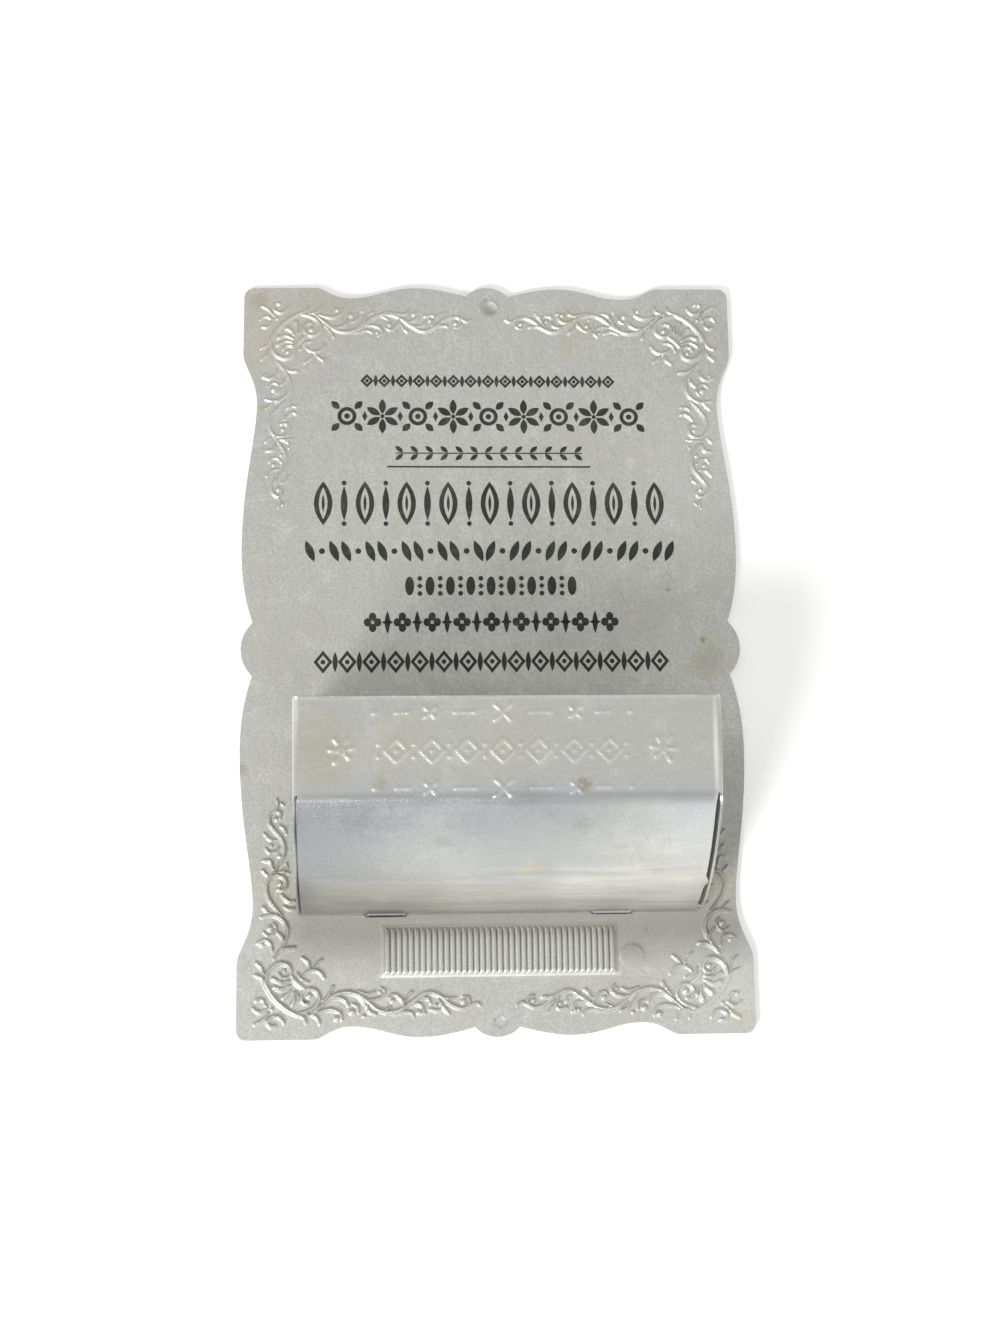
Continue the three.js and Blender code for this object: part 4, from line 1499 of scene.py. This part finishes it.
# %% [markdown]
# The bare sheet is a dull metal. A plain metallic shader would look new, so this one is only mostly
# metallic and quite rough, and rougher where oxide lies. Its grain and grit show as fine light and dark
# places and as a slight bump. One function makes it, and the plate and the pocket give it their own
# values, because the floor of the pocket is smoother.

# %% Sheet metal
GRAIN_DEPTH = 0.00001
GRIT_DEPTH = 0.00002
OXIDE_ROUGHER = 0.1


def sheet_metal(name, colour, dull, stretch, roughness, metallic, speckle, shift, stains_and_painted_light, bands):
    material = bpy.data.materials.new(name)
    material.use_nodes = True
    tree = material.node_tree
    shader = tree.nodes["Principled BSDF"]
    lines = use_group(tree, rolled_grain, Stretch=stretch)
    wiped = use_group(tree, rolled_grain, Stretch=times(stretch, 0.2))
    clouds = use_group(tree, oxide_clouds, Size=14.0, Low=0.4, High=0.66, Shift=shift)
    patches = use_group(tree, oxide_clouds, Size=3.5, Low=0.48, High=0.68, Shift=shift + 9)
    grit = use_group(tree, oxide_clouds, Size=0.4, Low=0.4, High=0.64, Shift=shift + 40)
    scratches = use_group(tree, fine_scratches, Turn=0.5, Keep=0.7)
    specks = use_group(tree, oxide_clouds, Size=0.8, Low=0.66, High=0.74, Shift=shift + 60)
    tone = colour
    for mask, strength, tint in ((lines, 0.7, times(colour, 0.8)), (wiped, 0.5, times(colour, 0.8)),
                                 (clouds, 0.6, dull), (patches, 0.35, times(colour, 1.18)),
                                 (grit, speckle, times(colour, 0.72)),
                                 (scratches, 0.4, times(colour, 0.55)),
                                 (specks, 0.4, times(colour, 0.5))):
        tone = blend_colour(tree, mask, strength, tone, tint)
    tree.links.new(add_marks(tree, tone, stains_and_painted_light, bands), shader.inputs["Base Color"])
    shader.inputs["Metallic"].default_value = metallic
    rough = add_node(tree, "ShaderNodeMapRange", {"Value": clouds, "To Min": roughness,
                                                  "To Max": roughness + OXIDE_ROUGHER})
    tree.links.new(rough.outputs[0], shader.inputs["Roughness"])
    grain = add_node(tree, "ShaderNodeBump",
                     {"Height": lines, "Strength": 0.5, "Distance": GRAIN_DEPTH})
    rubbed = add_node(tree, "ShaderNodeBump", {"Height": grit, "Strength": 0.6,
                                               "Distance": GRIT_DEPTH,
                                               "Normal": grain.outputs["Normal"]})
    tree.links.new(rubbed.outputs["Normal"], shader.inputs["Normal"])
    return material


print("the grain is", GRAIN_DEPTH / MM, "mm deep")

# %% [markdown]
# The plate's marks sit where they do on the real piece. A spot is its place, radius, tint and strength:
# rust at two edges, yellow lacquer here and there, painted shade with some dirt round the nail holes,
# painted shade on the plate right of the pocket, and on the round mark a painted shade above a painted
# lighter part. Hazes are the same with a smooth edge. They could be strewn by chance, but an old piece
# is known by where its marks are. The bands are painted shade under the pocket round the striker,
# painted shade with some grime in the line under the floor and beside a tab, the brightness of the
# rubbed ribs, and a painted highlight along the striker's lower wall.

# %% The plate's finish
RUST = (0.33, 0.2, 0.12)
OCHRE = (0.38, 0.27, 0.07)
LACQUER = (0.42, 0.4, 0.2)
TARNISH_AND_PAINTED_SHADE = (0.27, 0.27, 0.24)
DIRT_AND_PAINTED_SHADE = (0.02, 0.02, 0.018)
BEIGE = (0.52, 0.475, 0.39)
BRIGHT = (0.76, 0.765, 0.76)
SMOOTH = {"Ragged": 0.5}

plate_spots = [
    ((-39.0, -1.1, 61.0), 2.6, RUST, 0.45),
    ((-41.2, -1.1, -20.1), 1.8, RUST, 0.45),
    ((-38.3, -1.1, 41.7), 1.1, LACQUER, 0.7),
    ((-27.7, -1.1, 50.6), 0.8, LACQUER, 0.9),
    ((-25.7, -1.1, 27.0), 0.9, LACQUER, 0.5),
    ((29.6, -1.1, 26.5), 1.0, LACQUER, 0.8),
    ((29.8, -1.1, 9.9), 0.7, OCHRE, 0.9),
    ((35.4, -1.1, 1.3), 0.9, OCHRE, 1.0),
    ((14.3, -1.1, 57.8), 3.5, LACQUER, 0.4),
    ((14.2, -1.1, 53.2), 3.0, LACQUER, 0.3),
    ((39.0, -1.1, -61.0), 2.0, LACQUER, 0.4),
    ((35.1, -1.1, -38.5), 1.6, LACQUER, 0.7),
    ((-35.5, -1.1, -39.0), 5.0, LACQUER, 0.25),
    ((-27.0, -1.1, 61.0), 9.0, (0.45, 0.43, 0.34), 0.5),
    ((-37.0, -1.1, 56.0), 12.0, BEIGE, 0.5),
    ((36.0, -1.1, -2.0), 5.0, (0.36, 0.34, 0.25), 0.5),
    # Painted shade on the plate right of the pocket.
    ((38.0, -1.1, -25.0), 14.0, TARNISH_AND_PAINTED_SHADE, 0.45),
    ((8.0, -1.1, 8.0), 16.0, TARNISH_AND_PAINTED_SHADE, 0.12),
    ((-30.7, -1.6, -57.4), 0.6, DIRT_AND_PAINTED_SHADE, 1.0),
    ((24.3, -1.1, -46.7), 0.5, DIRT_AND_PAINTED_SHADE, 0.6),
    # Painted shade, with some dirt, round the bottom nail hole.
    ((0.4, -1.1, -61.2), 1.5, DIRT_AND_PAINTED_SHADE, 0.6),
    ((34.5, -1.1, -39.6), 4.5, (0.55, 0.53, 0.36), 0.65),
    # Painted shade on the plate right of the pocket, lower down.
    ((37.5, -1.1, -35.0), 13.0, TARNISH_AND_PAINTED_SHADE, 0.35),
    # Painted shade, with some dirt, round the top nail hole.
    ((0.4, -1.1, 60.0), 2.2, DIRT_AND_PAINTED_SHADE, 0.5),
    # Painted shade on the round mark's upper edge, and a painted lighter part below it.
    ((21.9, -1.1, -50.6), 3.2, TARNISH_AND_PAINTED_SHADE, 0.62),
    ((21.9, -1.1, -51.7), 2.4, (0.46, 0.46, 0.43), 0.9),
]
plate_hazes = [
    ((34.0, -1.1, 32.0), 20.0, BRIGHT, 0.1),
    ((37.0, -1.1, -57.0), 15.0, BRIGHT, 0.25),
    ((40.0, -1.1, 55.0), 12.0, TARNISH_AND_PAINTED_SHADE, 0.15),
]
plate_bands = [
    # Painted shade on the plate under the pocket, round the striker.
    (-46.5, 8.0, 1.5, 4.0, 42.0, TARNISH_AND_PAINTED_SHADE, 0.75),
    # Painted shade line, with some grime, under the floor's foot.
    (-43.75, 0.17, 0.25, 0.5, 32.4, DIRT_AND_PAINTED_SHADE, 0.35),
    # Painted shade under the left floor tab's slot.
    (-44.2, 0.14, 0.0, -17.8, 3.4, DIRT_AND_PAINTED_SHADE, 0.8),
    # Painted highlight along the striker's lower wall.
    (-53.6, 0.6, 0.0, 0.5, 19.8, (0.97, 0.97, 0.96), 0.25),
    (-49.4, 6.0, 0.0, 0.5, 20.5, BRIGHT, 0.25),
]
plate_metal = sheet_metal(
    "plate_sheet_metal", colour=(0.58, 0.585, 0.552), dull=(0.475, 0.475, 0.435),
    stretch=(8.0, 8.0, 0.25), roughness=0.48, metallic=0.75, speckle=0.8, shift=3.0,
    stains_and_painted_light=[(plate_spots, {}), (plate_hazes, SMOOTH)], bands=plate_bands)
plate.data.materials.append(plate_metal)
print("plate's marks:", len(plate_spots + plate_hazes), "spots and", len(plate_bands), "bands")

# %% [markdown]
# The pocket's floor is smooth and mirrors its surroundings, in bluish and pale zones. A whole studio
# could be built round it to be mirrored, but wide painted reflections in the colour give the same zones
# with a few numbers each. Its spots are rust and lacquer on the panel and small tarnish on the floor.
# Bands dull the floor near the plate and lighten its lower part, partly a yellowish film and partly a
# painted reflection that is brighter at the right. They paint highlights onto the bends, and paint shade
# into the gaps, the crease, the tabs, the right flap's side and the panel's top edge.

# %% The pocket's finish
BLUE_PAINTED_REFLECTION = (0.255, 0.275, 0.305)
ON_FLOOR = {"Ragged": 0.5, "Half_Width": 32.2, "Ceiling": -28.1}

# Painted reflections on the pocket's floor: bluish and dark at the left, pale at the right.
floor_painted_reflections = [
    ((-31.0, -25.0, -29.0), 26.0, BLUE_PAINTED_REFLECTION, 0.7),
    ((-33.0, -14.0, -38.0), 34.0, (0.265, 0.275, 0.28), 0.75),
    ((0.0, -25.0, -30.0), 22.0, BLUE_PAINTED_REFLECTION, 0.35),
    ((32.0, -25.0, -30.0), 16.0, (0.62, 0.645, 0.68), 0.35),
    ((4.0, -17.0, -37.0), 25.0, (0.36, 0.37, 0.37), 0.62),
]
pocket_spots = [
    ((12.3, -26.8, -26.5), 1.8, (0.27, 0.165, 0.03), 0.95),
    ((-18.4, -26.8, -26.3), 2.0, OCHRE, 0.6),
    ((4.1, -15.9, -38.2), 1.5, (0.5, 0.45, 0.25), 0.75),
    ((5.6, -16.8, -37.7), 1.4, (0.5, 0.42, 0.25), 0.75),
    ((-28.0, -27.0, -20.1), 8.0, (0.43, 0.42, 0.31), 0.55),
    ((-26.5, -27.0, -25.0), 5.0, (0.44, 0.42, 0.31), 0.45),
    ((-16.0, -27.0, -19.5), 7.0, (0.47, 0.465, 0.37), 0.35),
    ((2.0, -27.0, -18.5), 7.0, (0.47, 0.465, 0.37), 0.35),
    ((3.8, -26.6, -27.6), 3.0, TARNISH_AND_PAINTED_SHADE, 0.35),
    ((12.1, -23.4, -32.2), 2.2, TARNISH_AND_PAINTED_SHADE, 0.35),
    ((-9.1, -21.0, -34.5), 2.2, TARNISH_AND_PAINTED_SHADE, 0.3),
    ((-6.5, -19.5, -35.8), 1.2, TARNISH_AND_PAINTED_SHADE, 0.3),
    ((6.9, -24.8, -30.6), 2.0, TARNISH_AND_PAINTED_SHADE, 0.3),
    ((24.5, -15.2, -38.7), 1.6, TARNISH_AND_PAINTED_SHADE, 0.3),
    ((17.0, -7.1, -42.3), 1.5, TARNISH_AND_PAINTED_SHADE, 0.5),
    ((10.4, -5.5, -42.7), 1.6, TARNISH_AND_PAINTED_SHADE, 0.4),
    ((-29.5, -3.0, -43.3), 4.0, TARNISH_AND_PAINTED_SHADE, 0.6),
    ((33.2, -11.8, -40.4), 2.0, LACQUER, 0.8),
]
pocket_bands = [
    # Lighter yellowish lower floor: partly a film, partly a painted reflection.
    (-41.9, 4.2, 6.0, 0.8, 32.2, (0.86, 0.845, 0.765), 0.38),
    (-43.0, 9.0, 3.0, -31.0, 26.0, (0.27, 0.27, 0.25), 0.45),
    # Painted reflection: the lower floor lighter at the right.
    (-41.5, 5.0, 6.0, 22.0, 15.0, (0.88, 0.87, 0.82), 0.32),
    (-41.0, 0.5, 6.0, 0.8, 32.2, TARNISH_AND_PAINTED_SHADE, 0.2),
    (-42.5, 0.4, 4.0, 0.8, 32.2, TARNISH_AND_PAINTED_SHADE, 0.3),
    (-43.6, 0.7, 1.0, 0.8, 32.2, TARNISH_AND_PAINTED_SHADE, 0.5),
    # Painted shade that dims the glints on the floor's tabs.
    (-44.0, 0.45, 0.0, -17.8, 4.2, (0.22, 0.22, 0.21), 0.85),
    (-44.0, 0.45, 0.0, 18.8, 4.2, (0.26, 0.26, 0.25), 0.7),
    # Painted highlight on the panel's left bend.
    (-13.5, 11.0, 1.0, -31.4, 0.6, (0.96, 0.96, 0.95), 0.35),
    # Painted shade on the right flap's outer bend.
    (-19.5, 9.0, 0.5, 33.4, 0.5, TARNISH_AND_PAINTED_SHADE, 0.6),
    # Painted highlight on the panel's right bend.
    (-21.0, 12.0, 1.0, 32.5, 0.6, (0.96, 0.96, 0.95), 0.55),
    # Painted shade in the gap between the left flap and the floor.
    (-33.0, 6.0, 0.3, -31.55, 0.4, DIRT_AND_PAINTED_SHADE, 0.85),
    (-40.5, 6.0, 0.3, -31.55, 0.4, DIRT_AND_PAINTED_SHADE, 0.85),
    # Painted shade on the right flap's edge beside the floor.
    (-34.0, 9.0, 0.5, 33.4, 0.7, TARNISH_AND_PAINTED_SHADE, 0.7),
    (-27.2, 2.2, 5.0, 0.8, 32.0, (0.44, 0.465, 0.52), 0.4),
    # Painted shade in the crease between panel and floor.
    (-28.5, 1.5, 0.5, 0.8, 32.3, (0.29, 0.3, 0.31), 0.8),
    # Painted shade along the panel's top edge.
    (-12.8, 0.3, 0.5, 0.8, 32.3, TARNISH_AND_PAINTED_SHADE, 0.5),
]
pocket_metal = sheet_metal(
    "pocket_sheet_metal", colour=(0.56, 0.565, 0.545), dull=(0.48, 0.48, 0.44),
    stretch=(0.25, 8.0, 8.0), roughness=0.3, metallic=0.8, speckle=0.4, shift=23.0,
    stains_and_painted_light=[(floor_painted_reflections, ON_FLOOR), (pocket_spots, {})], bands=pocket_bands)
pocket.data.materials.append(pocket_metal)
print("pocket's marks:", len(floor_painted_reflections + pocket_spots), "spots and", len(pocket_bands), "bands")

# %% [markdown]
# The ink is a soft black that has turned a little green. It is matt, thinner in places, and the sheet
# shines through it in fine specks. Real holes in it would need a far finer mesh, so the specks are only
# a colour, from the same clouds as the sheet's oxide in a smaller size.

# %% Ink
FULL_INK = (0.016, 0.019, 0.015)
THIN_INK = (0.038, 0.042, 0.035)
WORN_INK = (0.13, 0.14, 0.12)


def ink_material():
    material = bpy.data.materials.new("printing_ink")
    material.use_nodes = True
    tree = material.node_tree
    shader = tree.nodes["Principled BSDF"]
    worn = use_group(tree, oxide_clouds, Size=1.1, Low=0.5, High=0.72, Shift=70.0)
    thin = use_group(tree, oxide_clouds, Size=7.0, Low=0.4, High=0.7, Shift=90.0)
    tone = blend_colour(tree, thin, 0.6, FULL_INK, THIN_INK)
    tone = blend_colour(tree, worn, 0.32, tone, WORN_INK)
    tree.links.new(tone, shader.inputs["Base Color"])
    shader.inputs["Roughness"].default_value = 0.62
    shader.inputs["Specular IOR Level"].default_value = 0.35
    return material


ink.data.materials.append(ink_material())
print("materials:", [material.name for material in bpy.data.materials])

# %% [markdown]
# The wall behind is plain white and not part of the holder. A white background would be
# less work, but a wall catches the holder's soft shadow. Through the top nail hole it shows a painted
# grey shadow and through the slots a painted dark one, as behind a plate that hangs close to it. Seen
# from behind it lets the view through, and light that starts close to it too, so the back of the plate
# shows and is lit like the front.

# %% The wall
WALL_BACK = 0.1
WALL_HALF = 1500.0
WHITE = (0.95, 0.95, 0.95)
GREY_SHADE = (0.4, 0.4, 0.385)
DARK_SHADE = (0.1, 0.1, 0.095)
NAIL_HOLE = (0.5, 59.9, 3.2)
SLOTS = [(-17.8, -43.6, 9.0), (18.8, -43.6, 9.0), (-32.0, -21.8, 7.0), (-32.0, -26.2, 7.0),
         (33.6, -21.8, 7.0), (33.6, -26.2, 7.0)]
CLOSE = 0.004


def wall_colour(tree):
    tone = WHITE
    # Painted shadows on the wall: grey behind the top nail hole, dark behind the slots.
    shades = [(NAIL_HOLE, 1.0, GREY_SHADE)] + [(slot, 0.95, DARK_SHADE) for slot in SLOTS]
    for (x, z, radius), strength, tint in shades:
        mask = use_group(tree, stain_and_painted_light, Place=(x, WALL_BACK, z), Radius=radius, Ragged=0.3)
        tone = blend_colour(tree, mask, strength, tone, tint)
    return tone


def wall_paint():
    material = bpy.data.materials.new("white_paint")
    material.use_nodes = True
    tree = material.node_tree
    shader = tree.nodes["Principled BSDF"]
    tree.links.new(wall_colour(tree), shader.inputs["Base Color"])
    shader.inputs["Roughness"].default_value = 0.9
    shader.inputs["Specular IOR Level"].default_value = 0.0
    shader.inputs["Emission Color"].default_value = (1.0, 1.0, 1.0, 1.0)
    shader.inputs["Emission Strength"].default_value = 0.06
    clear = tree.nodes.new("ShaderNodeBsdfTransparent")
    behind = add_node(tree, "ShaderNodeNewGeometry", {}).outputs["Backfacing"]
    reach = add_node(tree, "ShaderNodeLightPath", {}).outputs["Ray Length"]
    see_through = calculate(tree, "MAXIMUM", behind, calculate(tree, "LESS_THAN", reach, CLOSE))
    mix = tree.nodes.new("ShaderNodeMixShader")
    tree.links.new(see_through, mix.inputs[0])
    tree.links.new(shader.outputs[0], mix.inputs[1])
    tree.links.new(clear.outputs[0], mix.inputs[2])
    tree.links.new(mix.outputs[0], tree.nodes["Material Output"].inputs["Surface"])
    return material


corners = [(x, WALL_BACK, z) for x, z in ((-WALL_HALF, -WALL_HALF), (WALL_HALF, -WALL_HALF),
                                          (WALL_HALF, WALL_HALF), (-WALL_HALF, WALL_HALF))]
wall = add_mesh("white_wall", corners, [[0, 1, 2, 3]])
wall.data.materials.append(wall_paint())
print("wall", 2 * WALL_HALF * MM, "m wide")

# %% [markdown]
# The light is a studio's: a large soft lamp in front, low and to the left, which gives every scroll a
# bright lower edge and a dark upper one. Metal also mirrors what stands round it. A picture of a studio
# could give that, but a few directions with a colour each are enough, so the surround is pale with a
# bright part at the lower right, a dark one at the lower left, and a bright and a dim one behind.

# %% The lamp and the surround
LAMP_PLACE = (-0.44, -0.46, -0.54)
LAMP_SIZE = 0.32
LAMP_POWER = 7.6
LAMP_COLOUR = (1.0, 0.985, 0.96)
SURROUND = (0.835, 0.83, 0.815)
PARTS_OF_SURROUND = [
    ((0.62, -0.3, -0.72), (1.35, 1.35, 1.33), 0.5, 0.95),
    ((-0.5, -0.4, -0.76), (0.12, 0.17, 0.26), 0.7, 0.93),
    ((0.5, 0.5, 0.7), (1.7, 1.7, 1.68), 0.5, 0.97),
    ((-0.6, 0.7, -0.4), (0.35, 0.37, 0.4), 0.4, 0.97),
]


def add_lamp():
    data = bpy.data.lights.new("key", "AREA")
    data.shape = "DISK"
    data.size = LAMP_SIZE
    data.energy = LAMP_POWER
    data.color = LAMP_COLOUR
    lamp = bpy.data.objects.new("key", data)
    bpy.context.scene.collection.objects.link(lamp)
    lamp.location = LAMP_PLACE
    lamp.rotation_euler = (-Vector(LAMP_PLACE)).to_track_quat("-Z", "Y").to_euler()


def add_surround():
    world = bpy.data.worlds.new("surround")
    bpy.context.scene.world = world
    world.use_nodes = True
    tree = world.node_tree
    direction = add_node(tree, "ShaderNodeTexCoord", {}).outputs["Generated"]
    tone = SURROUND
    for side, colour, start, full in PARTS_OF_SURROUND:
        towards = calculate_vector(tree, "DOT_PRODUCT", direction, tuple(Vector(side).normalized()))
        tone = blend_colour(tree, fade(tree, towards, start, full), 1.0, tone, colour)
    tree.links.new(tone, tree.nodes["Background"].inputs["Color"])


add_lamp()
add_surround()
bpy.context.scene.view_settings.view_transform = "Standard"
print("lamp", round(Vector(LAMP_PLACE).length, 2), "m away, parts of the surround:",
      len(PARTS_OF_SURROUND))
